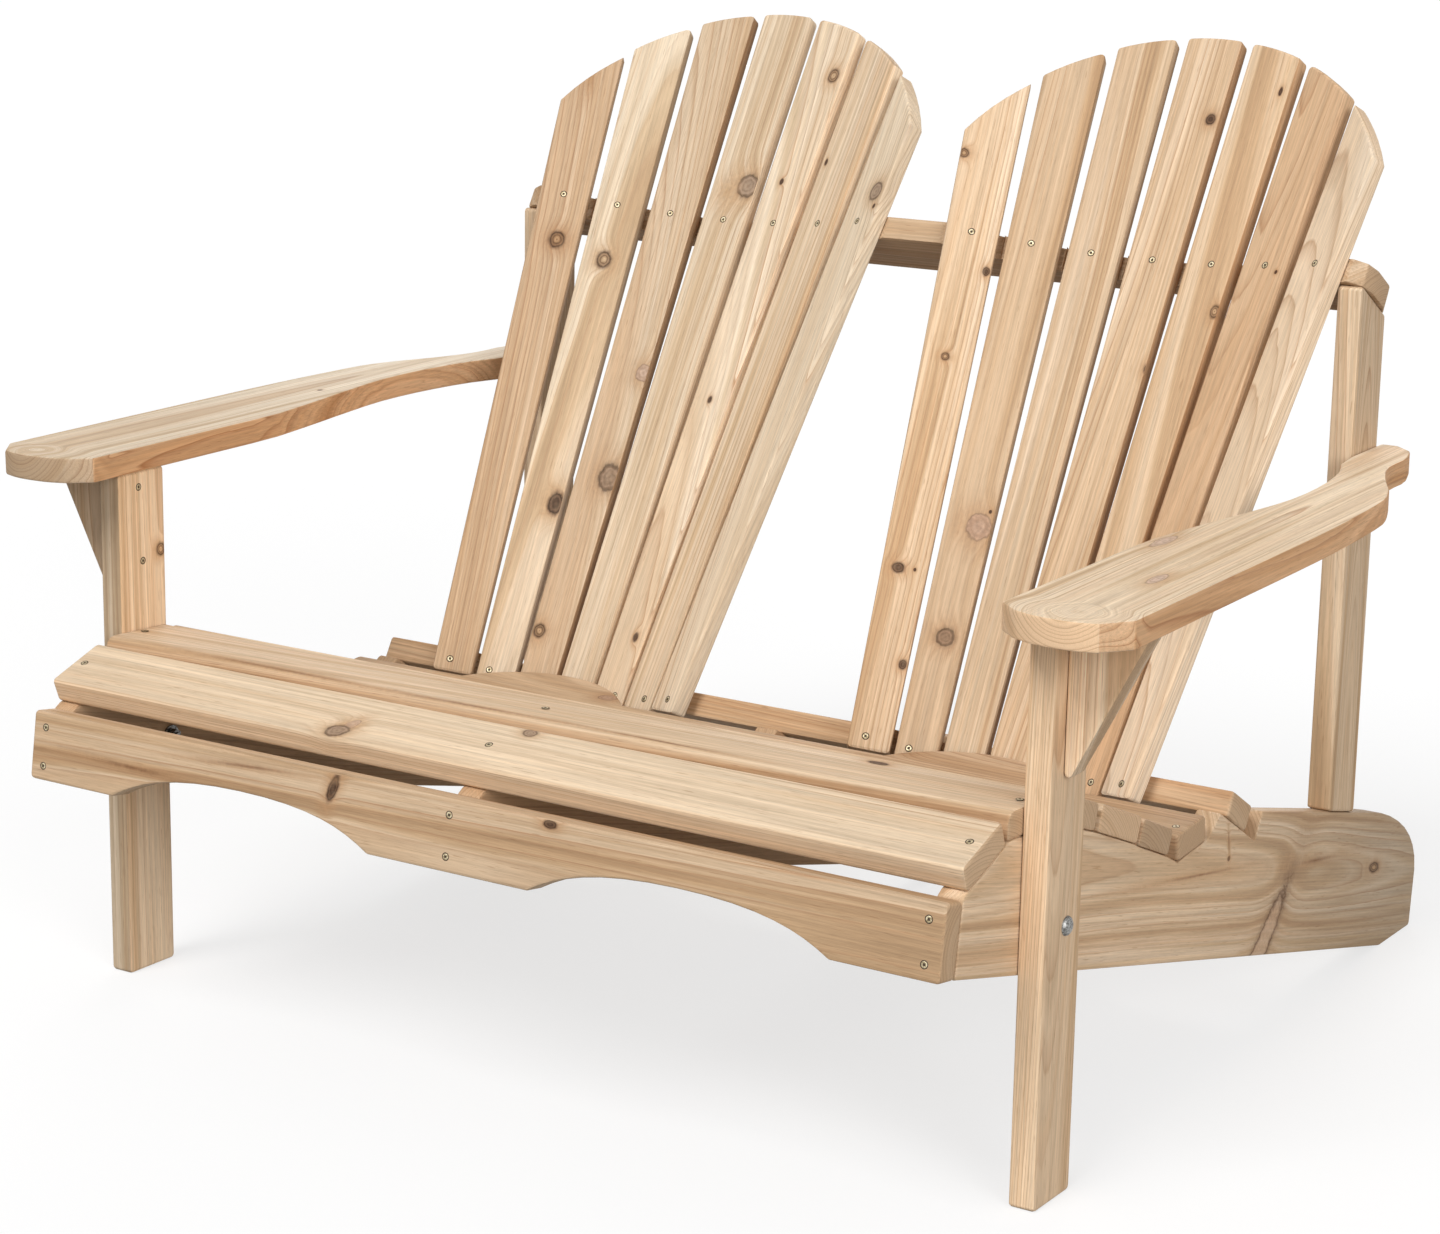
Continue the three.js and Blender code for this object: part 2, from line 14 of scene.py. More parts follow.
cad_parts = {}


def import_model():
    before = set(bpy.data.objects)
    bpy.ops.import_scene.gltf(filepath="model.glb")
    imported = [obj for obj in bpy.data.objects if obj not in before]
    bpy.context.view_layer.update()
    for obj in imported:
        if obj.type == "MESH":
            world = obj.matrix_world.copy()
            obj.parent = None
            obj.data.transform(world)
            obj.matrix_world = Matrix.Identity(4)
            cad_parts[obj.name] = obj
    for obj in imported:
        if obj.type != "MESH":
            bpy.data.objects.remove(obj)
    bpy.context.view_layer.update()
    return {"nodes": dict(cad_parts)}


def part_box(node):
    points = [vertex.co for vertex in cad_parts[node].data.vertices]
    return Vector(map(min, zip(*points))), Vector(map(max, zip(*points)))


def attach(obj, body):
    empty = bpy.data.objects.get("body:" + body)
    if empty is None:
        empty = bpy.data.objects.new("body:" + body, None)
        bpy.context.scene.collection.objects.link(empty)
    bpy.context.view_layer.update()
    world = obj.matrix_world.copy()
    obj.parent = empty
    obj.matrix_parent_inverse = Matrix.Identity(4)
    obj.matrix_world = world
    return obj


log = logging.getLogger("loveseat")

MM = 0.001
BODY = "root"
OPAQUE = 1.0
FULL = 1.0
SCREEN_WHITE = 255
CURVE_FOOT, CURVE_SLOPE, CURVE_LIFT, CURVE_POWER = 0.04045, 12.92, 0.055, 2.4
Triple = tuple[float, float, float]
Colour = Triple


def linear(value: float) -> float:
    """Undoes the screen's curve for one channel of a colour.

    Args:
        value: The channel as a screen shows it, 0 to 255.

    Returns:
        The channel as a share of white's light.
    """
    share = value / SCREEN_WHITE
    if share <= CURVE_FOOT:
        return share / CURVE_SLOPE
    return ((share + CURVE_LIFT) / (1 + CURVE_LIFT)) ** CURVE_POWER


def tint(red: float, green: float, blue: float) -> Colour:
    """Turns a colour as a screen shows it, 0 to 255, into the linear values that a shader takes."""
    return linear(red), linear(green), linear(blue)


class Wire:
    """An output socket of a node, on which Python's operators add Math nodes."""

    def __init__(self, bench: "ShaderBench", socket: bpy.types.NodeSocket) -> None:
        """Keeps the socket and the bench that its nodes are made on."""
        self.bench = bench
        self.socket = socket

    def __add__(self, other: "Wire | float") -> "Wire":
        """The sum."""
        return self.bench.maths("ADD", self, other)

    __radd__ = __add__

    def __sub__(self, other: "Wire | float") -> "Wire":
        """The difference."""
        return self.bench.maths("SUBTRACT", self, other)

    def __rsub__(self, other: float) -> "Wire":
        """The difference from a number."""
        return self.bench.maths("SUBTRACT", other, self)

    def __mul__(self, other: "Wire | float") -> "Wire":
        """The product."""
        return self.bench.maths("MULTIPLY", self, other)

    __rmul__ = __mul__

    def __truediv__(self, other: "Wire | float") -> "Wire":
        """The quotient."""
        return self.bench.maths("DIVIDE", self, other)

    def __neg__(self) -> "Wire":
        """The value with its sign turned."""
        return self.bench.maths("MULTIPLY", self, -1.0)

    def __pow__(self, power: float) -> "Wire":
        """The value to a power."""
        return self.bench.maths("POWER", self, power)


@dataclass(frozen=True)
class Stop:
    """One stop of a ramp."""

    place: float
    colour: Colour
    cover: float = OPAQUE


@dataclass(frozen=True)
class Waves:
    """A noise: its waves to a metre along, across and through the grain, its own shift and its layers."""

    along: float
    across: float
    through: float
    shift: float = 0.0
    layers: float = 2.0

    SKEW = (1.0, 1 / 3, -1 / 2)

    def stretch(self) -> Triple:
        """Waves to a metre along each axis."""
        return self.along, self.across, self.through

    def place(self, seed: float) -> Triple:
        """Where the pattern is read for one board, so that no two are alike."""
        return tuple((seed + self.shift) * share for share in self.SKEW)


@dataclass(frozen=True)
class Span:
    """The range that a value from 0 to 1 is carried to: its start, and how far it rises."""

    start: float
    rise: float

    def of(self, value: Wire) -> Wire:
        """The value in this range."""
        return self.start + self.rise * value


class ShaderBench:
    """Makes the nodes of one material, or of the world."""

    MIX_FACTOR, MIX_A, MIX_B, MIX_RESULT = 0, 6, 7, 2

    def __init__(self, tree: bpy.types.NodeTree) -> None:
        """Starts with an empty tree.

        Args:
            tree: The nodes of a material or of the world.
        """
        self.tree = tree
        self.tree.nodes.clear()

    @classmethod
    def of_material(cls, name: str) -> "tuple[ShaderBench, bpy.types.Material]":
        """Makes a new material.

        Args:
            name: The material's name.

        Returns:
            The bench that its nodes are made on, and the material.
        """
        material = bpy.data.materials.new(name)
        material.use_nodes = True
        return cls(material.node_tree), material

    def node(
        self,
        kind: str,
        settings: dict[str, object] | None = None,
        inputs: dict[str | int, object] | None = None,
        output: str | int = 0,
    ) -> Wire:
        """Adds a node, sets it up and joins it.

        Args:
            kind: The node's type.
            settings: Its own properties, or a ramp's stops, which are set first.
            inputs: Values or wires by the socket's name or number.
            output: The output to return.

        Returns:
            The output as a wire.
        """
        made = self.tree.nodes.new(kind)
        for name, value in (settings or {}).items():
            if name == "stops":
                self._set_stops(made.color_ramp, value)
            else:
                setattr(made, name, value)
        for key, value in (inputs or {}).items():
            if isinstance(value, Wire):
                self.tree.links.new(value.socket, made.inputs[key])
            else:
                made.inputs[key].default_value = value
        return Wire(self, made.outputs[output])

    @staticmethod
    def _set_stops(ramp: bpy.types.ColorRamp, stops: list[Stop]) -> None:
        """Gives a ramp its stops.

        Args:
            ramp: The ramp, new from its node.
            stops: Its stops, in rising order.
        """
        while len(ramp.elements) < len(stops):
            ramp.elements.new(FULL)
        for element, stop in zip(ramp.elements, stops):
            element.position = stop.place
            element.color = (*stop.colour, stop.cover)

    def maths(self, operation: str, *values: Wire | float) -> Wire:
        """Adds a Math node on two values."""
        return self.node("ShaderNodeMath", {"operation": operation}, dict(enumerate(values)))

    def vector(self, operation: str, *values: object) -> Wire:
        """Adds a Vector Math node whose result is a vector."""
        return self.node("ShaderNodeVectorMath", {"operation": operation}, dict(enumerate(values)))

    def parts(self, value: Wire) -> tuple[Wire, Wire, Wire]:
        """The three parts of a vector."""
        outputs = self.node("ShaderNodeSeparateXYZ", None, {0: value}).socket.node.outputs
        return tuple(Wire(self, output) for output in outputs)

    def length(self, value: Wire) -> Wire:
        """The length of a vector."""
        return self.node("ShaderNodeVectorMath", {"operation": "LENGTH"}, {0: value}, "Value")

    def mixed(self, below: object, above: object, share: object, blend: str = "MIX") -> Wire:
        """Lays one colour over another.

        Args:
            below: The colour below.
            above: The colour above.
            share: How much of the upper one shows.
            blend: How the two are blended.

        Returns:
            The mixed colour.
        """
        values = {
            self.MIX_FACTOR: share,
            self.MIX_A: self._colour(below),
            self.MIX_B: self._colour(above),
        }
        settings = {"data_type": "RGBA", "blend_type": blend}
        return self.node("ShaderNodeMix", settings, values, self.MIX_RESULT)

    @staticmethod
    def _colour(value: object) -> object:
        """A wire as it is, and a plain colour with full cover."""
        return value if isinstance(value, Wire) else (*value, OPAQUE)

    def noise(self, point: Wire, waves: Waves, seed: float = 0.0) -> Wire:
        """Smooth noise from 0 to 1 that is stretched along the axes.

        Args:
            point: Where it is read.
            waves: How fine it is.
            seed: Moves the pattern.

        Returns:
            The noise.
        """
        place = self.vector("MULTIPLY_ADD", point, waves.stretch(), waves.place(seed))
        inputs = {"Vector": place, "Scale": FULL, "Detail": waves.layers}
        return self.node("ShaderNodeTexNoise", None, inputs)

    def facing(self, way: Vector, edge: tuple[float, float]) -> Wire:
        """Tells how squarely the surface faces along a line, either way.

        Args:
            way: The line's direction.
            edge: The cosines at which the answer is 0 and 1.

        Returns:
            A value from 0 to 1.
        """
        normal = self.node("ShaderNodeNewGeometry", output="Normal")
        share = self.node("ShaderNodeVectorMath", {"operation": "DOT_PRODUCT"}, {0: normal, 1: way}, "Value")
        return self.band(self.maths("ABSOLUTE", share), edge)

    def band(self, value: Wire, edge: tuple[float, float]) -> Wire:
        """Rises smoothly from 0 at the edge's first value to 1 at its second."""
        inputs = {"Value": value, "From Min": edge[0], "From Max": edge[1]}
        return self.node("ShaderNodeMapRange", {"interpolation_type": "SMOOTHSTEP"}, inputs)

    def grey(self, level: Wire) -> Wire:
        """A grey of that level, to multiply a colour by."""
        return self.node("ShaderNodeCombineColor", None, {0: level, 1: level, 2: level})

    def dyed(self, colour: Wire, dye: object) -> Wire:
        """A colour multiplied by another."""
        return self.mixed(colour, dye, FULL, "MULTIPLY")

    def bump(self, height: Wire, strength: float, rise: float) -> Wire:
        """The surface's normal, tilted by a height."""
        inputs = {"Strength": strength, "Distance": rise, "Height": height}
        return self.node("ShaderNodeBump", None, inputs)

    def finish(self, shader: Wire, output: str = "ShaderNodeOutputMaterial") -> None:
        """Joins the shader to the output."""
        made = self.tree.nodes.new(output)
        self.tree.links.new(shader.socket, made.inputs["Surface"])


class KnotKind(Enum):
    """How a knot looks where the board's face cuts it."""

    SOUND = "sound"
    DARK = "dark"
    PALE = "pale"
    RINGED = "ringed"
    PIN = "pin"
    BARK = "bark"
    STAIN = "stain"
    SPIKE = "spike"


@dataclass(frozen=True)
class Knot:
    """A branch cut through by a board's face: millimetres from the face's centre, and degrees of turn."""

    along: float
    across: float
    radius: float
    kind: KnotKind = KnotKind.SOUND
    stretch: float = 1.25
    turn: float = 0.0


@dataclass(frozen=True)
class ToneAndPaintedShading:
    """How one board's colour departs from most, with painted shade and painted light for some boards.

    A light is a share of the lightness, and a warmth is the red over the blue. The first two are the whole
    board's, and the others those of its long edges, of its end grain and of its far end.
    """

    light: float = 1.0
    warmth: float = 1.0
    edge_light: float = 1.0
    edge_warmth: float = 1.0
    end_light: float = 1.0
    tail_light: float = 1.0

    @staticmethod
    def _dye(light: float, warmth: float) -> Colour:
        """The colour to multiply by."""
        root = math.sqrt(warmth)
        return light * root, light, light / root

    def face_dye_and_painted_shading(self) -> Colour:
        """The colour that a face is multiplied by, which for some boards also paints shade and for others
        light.
        """
        return self._dye(self.light, self.warmth)

    def edge_dye_and_painted_shading(self) -> Colour:
        """The colour that a long edge is multiplied by, which for some boards paints shade on the side faces
        and for others light.
        """
        return self._dye(self.edge_light, self.edge_warmth)


@dataclass(frozen=True)
class Figure:
    """How one board was cut from its log.

    The log's heart lies some millimetres from the board's centre and leans along it. A nose dip carries the
    rings deeper over the last stretch of the board's near end. The blush and the weather are shares of the
    heartwood's and the greyed wood's colours, and the contrast is that of the broad streaks.
    """

    heart_across: float
    heart_depth: float
    lean_across: float
    lean_depth: float
    ring_pitch: float
    blush: float
    weather: float
    seed: float
    nose_dip: float = 0.0
    nose_reach: float = 60.0
    contrast: float = 1.0

    HEART_ACROSS = (10.0, 75.0)
    HEART_DEPTH = (35.0, 130.0)
    LEAN_ACROSS = (-0.03, 0.03)
    LEAN_DEPTH = (-0.04, 0.04)
    RING_PITCH = (2.6, 4.4)
    BLUSH = (0.1, 0.6)
    WEATHER = (0.0, 0.2)
    SEED = (3.0, 90.0)
    CONTRAST = (0.7, 1.0)

    @classmethod
    def drawn(cls, name: str) -> "Figure":
        """Draws a board's figure.

        Args:
            name: The board's name, which seeds the draw.

        Returns:
            The figure.
        """
        draw = random.Random(name)
        side = draw.choice((-1, 1))
        return cls(
            heart_across=side * draw.uniform(*cls.HEART_ACROSS),
            heart_depth=draw.uniform(*cls.HEART_DEPTH),
            lean_across=draw.uniform(*cls.LEAN_ACROSS),
            lean_depth=draw.uniform(*cls.LEAN_DEPTH),
            ring_pitch=draw.uniform(*cls.RING_PITCH),
            blush=draw.uniform(*cls.BLUSH),
            weather=draw.uniform(*cls.WEATHER),
            seed=draw.uniform(*cls.SEED),
            contrast=draw.uniform(*cls.CONTRAST),
        )


@dataclass
class Board:
    """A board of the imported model, with its own directions found from its faces."""

    node: bpy.types.Object
    hint: Vector | None = None
    lengthwise: Vector = field(init=False)
    crosswise: Vector = field(init=False)
    outward: Vector = field(init=False)
    centre: Vector = field(init=False)
    half: Vector = field(init=False)

    FACING = (0.3, -1.0, 0.6)
    GRAIN_WAY = (1.0, 0.4, 0.7)
    TURNS = 720

    def __post_init__(self) -> None:
        """Finds the board's directions, centre and half sizes."""
        mesh = self.node.data
        corners = np.array([v.co for v in mesh.vertices])
        normals = np.array([f.normal for f in mesh.polygons])
        areas = np.array([f.area for f in mesh.polygons])
        spread = (normals * areas[:, None]).T @ normals
        outward = np.linalg.eigh(spread)[1][:, -1]
        outward *= math.copysign(1.0, outward @ np.array(self.FACING))
        lengthwise = self._grain(corners, outward)
        crosswise = np.cross(lengthwise, outward)
        axes = np.array([lengthwise, crosswise, outward])
        places = corners @ axes.T
        low, high = places.min(0), places.max(0)
        self.lengthwise, self.crosswise, self.outward = (Vector(a) for a in axes)
        self.centre = Vector((low + high) / 2 @ axes)
        self.half = Vector((high - low) / 2)

    def _grain(self, corners: np.ndarray, outward: np.ndarray) -> np.ndarray:
        """Finds the direction of the grain.

        Args:
            corners: The board's points.
            outward: The way that its front faces.

        Returns:
            The hint, or else the long side of the smallest box round the board.
        """
        if self.hint is not None:
            hint = np.array(self.hint)
            hint = hint - outward * (hint @ outward)
            return hint / np.linalg.norm(hint)
        start = np.cross(outward, np.eye(3)[np.argmin(abs(outward))])
        start /= np.linalg.norm(start)
        side = np.cross(outward, start)
        best, least = start, math.inf
        for turn in np.arange(self.TURNS) * math.pi / self.TURNS:
            way = start * math.cos(turn) + side * math.sin(turn)
            spans = np.ptp(corners @ way), np.ptp(corners @ np.cross(outward, way))
            if spans[0] * spans[1] < least and spans[0] > spans[1]:
                best, least = way, spans[0] * spans[1]
        return best * math.copysign(1.0, best @ np.array(self.GRAIN_WAY))

    def place(self, along: float, across: float) -> Vector:
        """A point on the board's front face, in metres from its centre."""
        sideways = self.lengthwise * along + self.crosswise * across
        return self.centre + sideways + self.outward * self.half.z

    def grain_turn(self) -> Matrix:
        """Turns the object's frame into the board's: along, across and depth below the front."""
        return Matrix((self.lengthwise, self.crosswise, -self.outward))


HALO = (182, 140, 100)
BLANK: Colour = (1.0, 1.0, 1.0)

# A knot's rings from its heart outwards: the share of its reach, the colour on a screen, and the cover.
KNOT_RINGS: dict[KnotKind, tuple[tuple[float, tuple[int, int, int], float], ...]] = {
    KnotKind.SOUND: (
        (0.0, (140, 112, 88), 1.0), (0.08, (160, 133, 108), 1.0), (0.15, (142, 115, 91), 1.0),
        (0.21, (162, 134, 109), 1.0), (0.26, (128, 101, 78), 1.0), (0.3, (92, 70, 51), 0.9),
        (0.35, (152, 116, 82), 0.6), (0.46, HALO, 0.4), (0.7, HALO, 0.15),
    ),
    KnotKind.DARK: (
        (0.0, (98, 72, 52), 1.0), (0.12, (74, 53, 38), 1.0), (0.2, (112, 84, 62), 1.0),
        (0.27, (66, 47, 33), 1.0), (0.33, (128, 94, 66), 0.75), (0.43, HALO, 0.5),
        (0.7, HALO, 0.2),
    ),
    KnotKind.PALE: (
        (0.0, (182, 152, 130), 1.0), (0.1, (200, 170, 147), 1.0), (0.18, (180, 149, 125), 1.0),
        (0.26, (194, 162, 138), 1.0), (0.3, (136, 106, 82), 0.75), (0.34, HALO, 0.5),
        (0.5, HALO, 0.35), (0.7, HALO, 0.15),
    ),
    KnotKind.RINGED: (
        (0.0, (146, 112, 80), 1.0), (0.05, (196, 162, 124), 1.0), (0.11, (172, 136, 100), 1.0),
        (0.16, (108, 80, 56), 1.0), (0.21, (154, 120, 88), 1.0), (0.28, (80, 57, 39), 1.0),
        (0.34, (126, 92, 62), 0.75), (0.44, HALO, 0.5), (0.7, HALO, 0.2),
    ),
    KnotKind.BARK: (
        (0.0, (128, 92, 62), 0.85), (0.12, (144, 106, 74), 0.7), (0.3, (168, 128, 90), 0.4),
        (0.6, HALO, 0.15),
    ),
    KnotKind.STAIN: (
        (0.0, (176, 134, 90), 0.75), (0.2, (180, 140, 98), 0.6), (0.45, HALO, 0.35),
        (0.75, HALO, 0.12),
    ),
    KnotKind.SPIKE: (
        (0.0, (192, 160, 132), 0.7), (0.2, (186, 152, 124), 0.6), (0.28, (104, 77, 55), 0.95),
        (0.32, (132, 101, 74), 0.6), (0.42, (160, 126, 94), 0.3), (0.7, HALO, 0.08),
    ),
    KnotKind.PIN: (
        (0.0, (88, 62, 44), 1.0), (0.2, (72, 50, 36), 1.0), (0.28, (106, 78, 56), 0.85),
        (0.36, HALO, 0.55), (0.5, HALO, 0.3), (0.7, HALO, 0.1),
    ),
}


@dataclass(frozen=True)
class Cut:
    """How a board's surface cuts through its log, as wires."""

    grain: Wire
    along: Wire
    ringwise: Wire
    ring: Wire
    streak: Wire
    fibre: Wire
    cores: tuple[Wire, ...]


@dataclass(frozen=True)
class CedarFinish:
    """Sanded, unfinished cedar: broad streaks, faint rings, fibres and knots. Sizes are in millimetres."""

    late: Colour = tint(176, 135, 99)
    heart: Colour = tint(203, 165, 128)
    grey: Colour = tint(172, 148, 122)
    fleck: Colour = tint(150, 112, 76)
    end_grain: Colour = tint(196, 164, 130)
    end_ring: Colour = tint(146, 112, 80)
    specular: float = 0.25
    roughness: float = 0.64
    rough_fibre: float = 0.16
    smooth_ring: float = 0.08
    bump_strength: float = 0.35
    bump_rise: float = 0.6
    sway_across: float = 18.0
    sway_depth: float = 21.6
    ripple: float = 1.4
    pull_share: float = 0.65
    most_pull: float = 6.0
    knot_reach: float = 3.2
    knot_seed_step: float = 40.0

    # The wood's noises: waves to a metre along, across and through the grain, then a shift and the layers.
    SWAY = Waves(1.1, 4.0, 4.0, 0.0, 1.0)
    RIPPLE = Waves(9.0, 60.0, 60.0, 7.0)
    BROAD = Waves(1.0, 64.0, 20.0, 11.0, 4.0)
    SPACING = Waves(0.3, 70.0, 1.0, 13.0)
    SHOWN = Waves(1.6, 45.0, 4.0, 17.0, 1.0)
    STREAK = Waves(4.0, 420.0, 90.0, 19.0, 3.0)
    BLUSH = Waves(0.7, 22.0, 8.0, 23.0, 1.0)
    FIBRE = Waves(60.0, 1500.0, 1500.0, 29.0)
    THREAD = Waves(7.0, 520.0, 520.0, 37.0, 3.0)
    GRIT = Waves(260.0, 260.0, 260.0, 43.0, 4.0)
    FLECK = Waves(45.0, 800.0, 800.0, 47.0, 1.0)
    PATCH = Waves(60.0, 130.0, 130.0, 53.0, 3.0)
    KNOT_EDGE = Waves(130.0, 190.0, 0.0, 0.0, 4.0)

    # How the noises are weighed: bands that pick a share of the wood, and spans for what they lay on it.
    RINGWISE = (0.6, 0.05)
    SPACING_TURNS = 4.0
    PULL_FALL = -0.3
    FLAT = (1.0, 1.0, 0.0)
    MIDDLE = 0.5
    BROAD_MIDDLE = 0.51
    STREAK_TONE = 0.07
    SHOWN_BAND = (0.42, 0.62)
    BLUSH_BAND = (0.5, 0.66)
    FLECK_BAND = (0.64, 0.76)
    FLECK_SHARE = 0.4
    EDGE_BAND = (0.5, 0.9)
    END_BAND = (0.5, 0.95)
    END_SHARE = 0.8
    END_RING_SHARE = 0.7
    END_LEVEL = Span(0.8, 0.35)
    TAIL_START = -0.3
    KNOT_ON_EDGE = 0.85
    LINE_SHOWN = Span(0.2, 0.66)
    LINE_STREAK = Span(0.4, 1.2)
    LIFT = Span(0.33, 0.42)
    THREAD_LIFT = 0.6
    FIBRE_LIFT = 0.32
    GRIT_LEVEL = Span(0.6, 0.8)
    PATCH_LEVEL = Span(0.7, 0.6)
    KNOT_RIPPLE = 0.25
    KNOT_UNEVEN = 0.45
    HEIGHT_SHARES = (0.4, 0.7, 0.5)
    STREAK_STOPS = [
        Stop(0.26, tint(172, 136, 99)),
        Stop(0.4, tint(203, 171, 134)),
        Stop(0.49, tint(226, 201, 170)),
        Stop(0.56, tint(213, 184, 150)),
        Stop(0.66, tint(236, 214, 186)),
        Stop(0.8, tint(200, 170, 131)),
    ]
    RING_STOPS = [
        Stop(0.0, (0.0,) * 3),
        Stop(0.6, (0.06,) * 3),
        Stop(0.86, (0.5,) * 3),
        Stop(0.95, (1.0,) * 3),
        Stop(1.0, (0.08,) * 3),
    ]

    @staticmethod
    def knot_stops(kind: KnotKind) -> list[Stop]:
        """A knot's colours from its heart to the edge of its halo, as shares of its reach."""
        rings = [Stop(place, tint(*colour), cover) for place, colour, cover in KNOT_RINGS[kind]]
        return rings + [Stop(FULL, tint(*HALO), 0.0)]

    def material(
        self, board: Board, figure: Figure, tone: ToneAndPaintedShading, knots: tuple[Knot, ...]
    ) -> bpy.types.Material:
        """Makes one board's material.

        Args:
            board: The board, whose directions the grain follows.
            figure: How it was cut.
            tone: How its colour departs from most, with its painted shade and painted light.
            knots: The knots on its front face.

        Returns:
            The material.
        """
        bench, material = ShaderBench.of_material(f"cedar_{board.node.name}")
        cut = self._cut(bench, board, figure, knots)
        wood = self._sanded(bench, cut, figure)
        wood = self._knotted(bench, board, cut, knots, figure.seed, wood)
        wood = self._dyed(bench, board, cut, tone, wood)
        heights = zip((cut.ring, cut.fibre, cut.streak), self.HEIGHT_SHARES)
        ring, fibre, streak = (wire * share for wire, share in heights)
        surface = {
            "Base Color": wood,
            "Roughness": self.roughness + self.rough_fibre * cut.fibre - self.smooth_ring * cut.ring,
            "Specular IOR Level": self.specular,
            "Normal": bench.bump(ring + fibre + streak, self.bump_strength, self.bump_rise * MM),
        }
        bench.finish(bench.node("ShaderNodeBsdfPrincipled", None, surface))
        return material

    def _cut(self, bench: ShaderBench, board: Board, figure: Figure, knots: tuple[Knot, ...]) -> Cut:
        """Finds each point's place in the log.

        Args:
            bench: Where the nodes are made.
            board: The board.
            figure: How it was cut.
            knots: Its knots, which the rings bend round.

        Returns:
            The place, and the rings, streaks and fibres there.
        """
        turn, seed = board.grain_turn(), figure.seed
        settled = {
            "Vector": bench.node("ShaderNodeTexCoord", output="Object"),
            "Rotation": turn.to_euler("XYZ"),
            "Location": -(turn @ board.centre),
        }
        grain = bench.node("ShaderNodeMapping", {"vector_type": "POINT"}, settled)
        along, across, depth = bench.parts(grain)
        sway = bench.noise(grain, self.SWAY, seed) - self.MIDDLE
        ripple = bench.noise(grain, self.RIPPLE, seed) - self.MIDDLE
        aside = across - (along * figure.lean_across + figure.heart_across * MM)
        aside = aside + sway * (self.sway_across * MM)
        below = depth - (along * figure.lean_depth + figure.heart_depth * MM)
        below = below - sway * (self.sway_depth * MM)
        if figure.nose_dip:
            nose = (board.half.x - figure.nose_reach * MM, board.half.x)
            below = below + bench.band(-along, nose) * (figure.nose_dip * MM)
        radius = (aside * aside + below * below) ** 0.5 + ripple * (self.ripple * MM)
        cores = tuple(self._knot_core(bench, grain, ripple, knot) for knot in knots)
        for knot, core in zip(knots, cores):
            pull = bench.maths("EXPONENT", core * core * self.PULL_FALL)
            radius = radius + pull * (min(knot.radius * self.pull_share, self.most_pull) * MM)
        lengthwise, through = self.RINGWISE
        places = {0: along * lengthwise, 1: radius, 2: depth * through}
        ringwise = bench.node("ShaderNodeCombineXYZ", None, places)
        spacing = bench.noise(ringwise, self.SPACING, seed)
        phase = radius / (figure.ring_pitch * MM) + spacing * self.SPACING_TURNS
        turned = {0: bench.maths("FRACT", phase)}
        return Cut(
            grain=grain,
            along=along,
            ringwise=ringwise,
            ring=bench.node("ShaderNodeValToRGB", {"stops": self.RING_STOPS}, turned),
            streak=bench.noise(ringwise, self.STREAK, seed),
            fibre=bench.noise(grain, self.FIBRE, seed),
            cores=cores,
        )

    def _sanded(self, bench: ShaderBench, cut: Cut, figure: Figure) -> Wire:
        """The colour of clear wood.

        Args:
            bench: Where the nodes are made.
            cut: The place in the log.
            figure: How the board was cut.

        Returns:
            The colour.
        """
        seed = figure.seed
        broad = (bench.noise(cut.ringwise, self.BROAD, seed) - self.BROAD_MIDDLE) * figure.contrast
        tone = broad + self.BROAD_MIDDLE + self.STREAK_TONE * (cut.streak - self.MIDDLE)
        wood = bench.node("ShaderNodeValToRGB", {"stops": self.STREAK_STOPS}, {0: tone})
        blush = bench.band(bench.noise(cut.ringwise, self.BLUSH, seed), self.BLUSH_BAND)
        wood = bench.mixed(wood, self.heart, blush * figure.blush)
        shown = bench.band(bench.noise(cut.ringwise, self.SHOWN, seed), self.SHOWN_BAND)
        lines = cut.ring * self.LINE_SHOWN.of(shown) * self.LINE_STREAK.of(cut.streak)
        wood = bench.mixed(wood, self.late, lines)
        wood = bench.mixed(wood, self.grey, figure.weather)
        fleck = bench.band(bench.noise(cut.grain, self.FLECK, seed), self.FLECK_BAND)
        wood = bench.mixed(wood, self.fleck, fleck * self.FLECK_SHARE)
        thread = bench.noise(cut.grain, self.THREAD, seed)
        lift = self.LIFT.of(cut.streak) + self.THREAD_LIFT * thread + self.FIBRE_LIFT * cut.fibre
        return bench.dyed(wood, bench.grey(lift))

    def _knotted(
        self, bench: ShaderBench, board: Board, cut: Cut, knots: tuple[Knot, ...], seed: float, wood: Wire
    ) -> Wire:
        """Lays the knots over the wood.

        Args:
            bench: Where the nodes are made.
            board: The board.
            cut: The place in the log.
            knots: The board's knots.
            seed: The board's own shift of the noises.
            wood: The colour below.

        Returns:
            The colour with the knots.
        """
        edge = bench.facing(board.crosswise, self.EDGE_BAND)
        grit = bench.grey(self.GRIT_LEVEL.of(bench.noise(cut.grain, self.GRIT, seed)))
        patchy = self.PATCH_LEVEL.of(bench.noise(cut.grain, self.PATCH, seed))
        for knot, core in zip(knots, cut.cores):
            stops = {"stops": self.knot_stops(knot.kind)}
            disc = bench.node("ShaderNodeValToRGB", stops, {0: core / self.knot_reach})
            alpha = Wire(bench, disc.socket.node.outputs["Alpha"])
            cover = alpha * (1 - self.KNOT_ON_EDGE * edge) * patchy
            wood = bench.mixed(wood, bench.dyed(disc, grit), cover)
        return wood

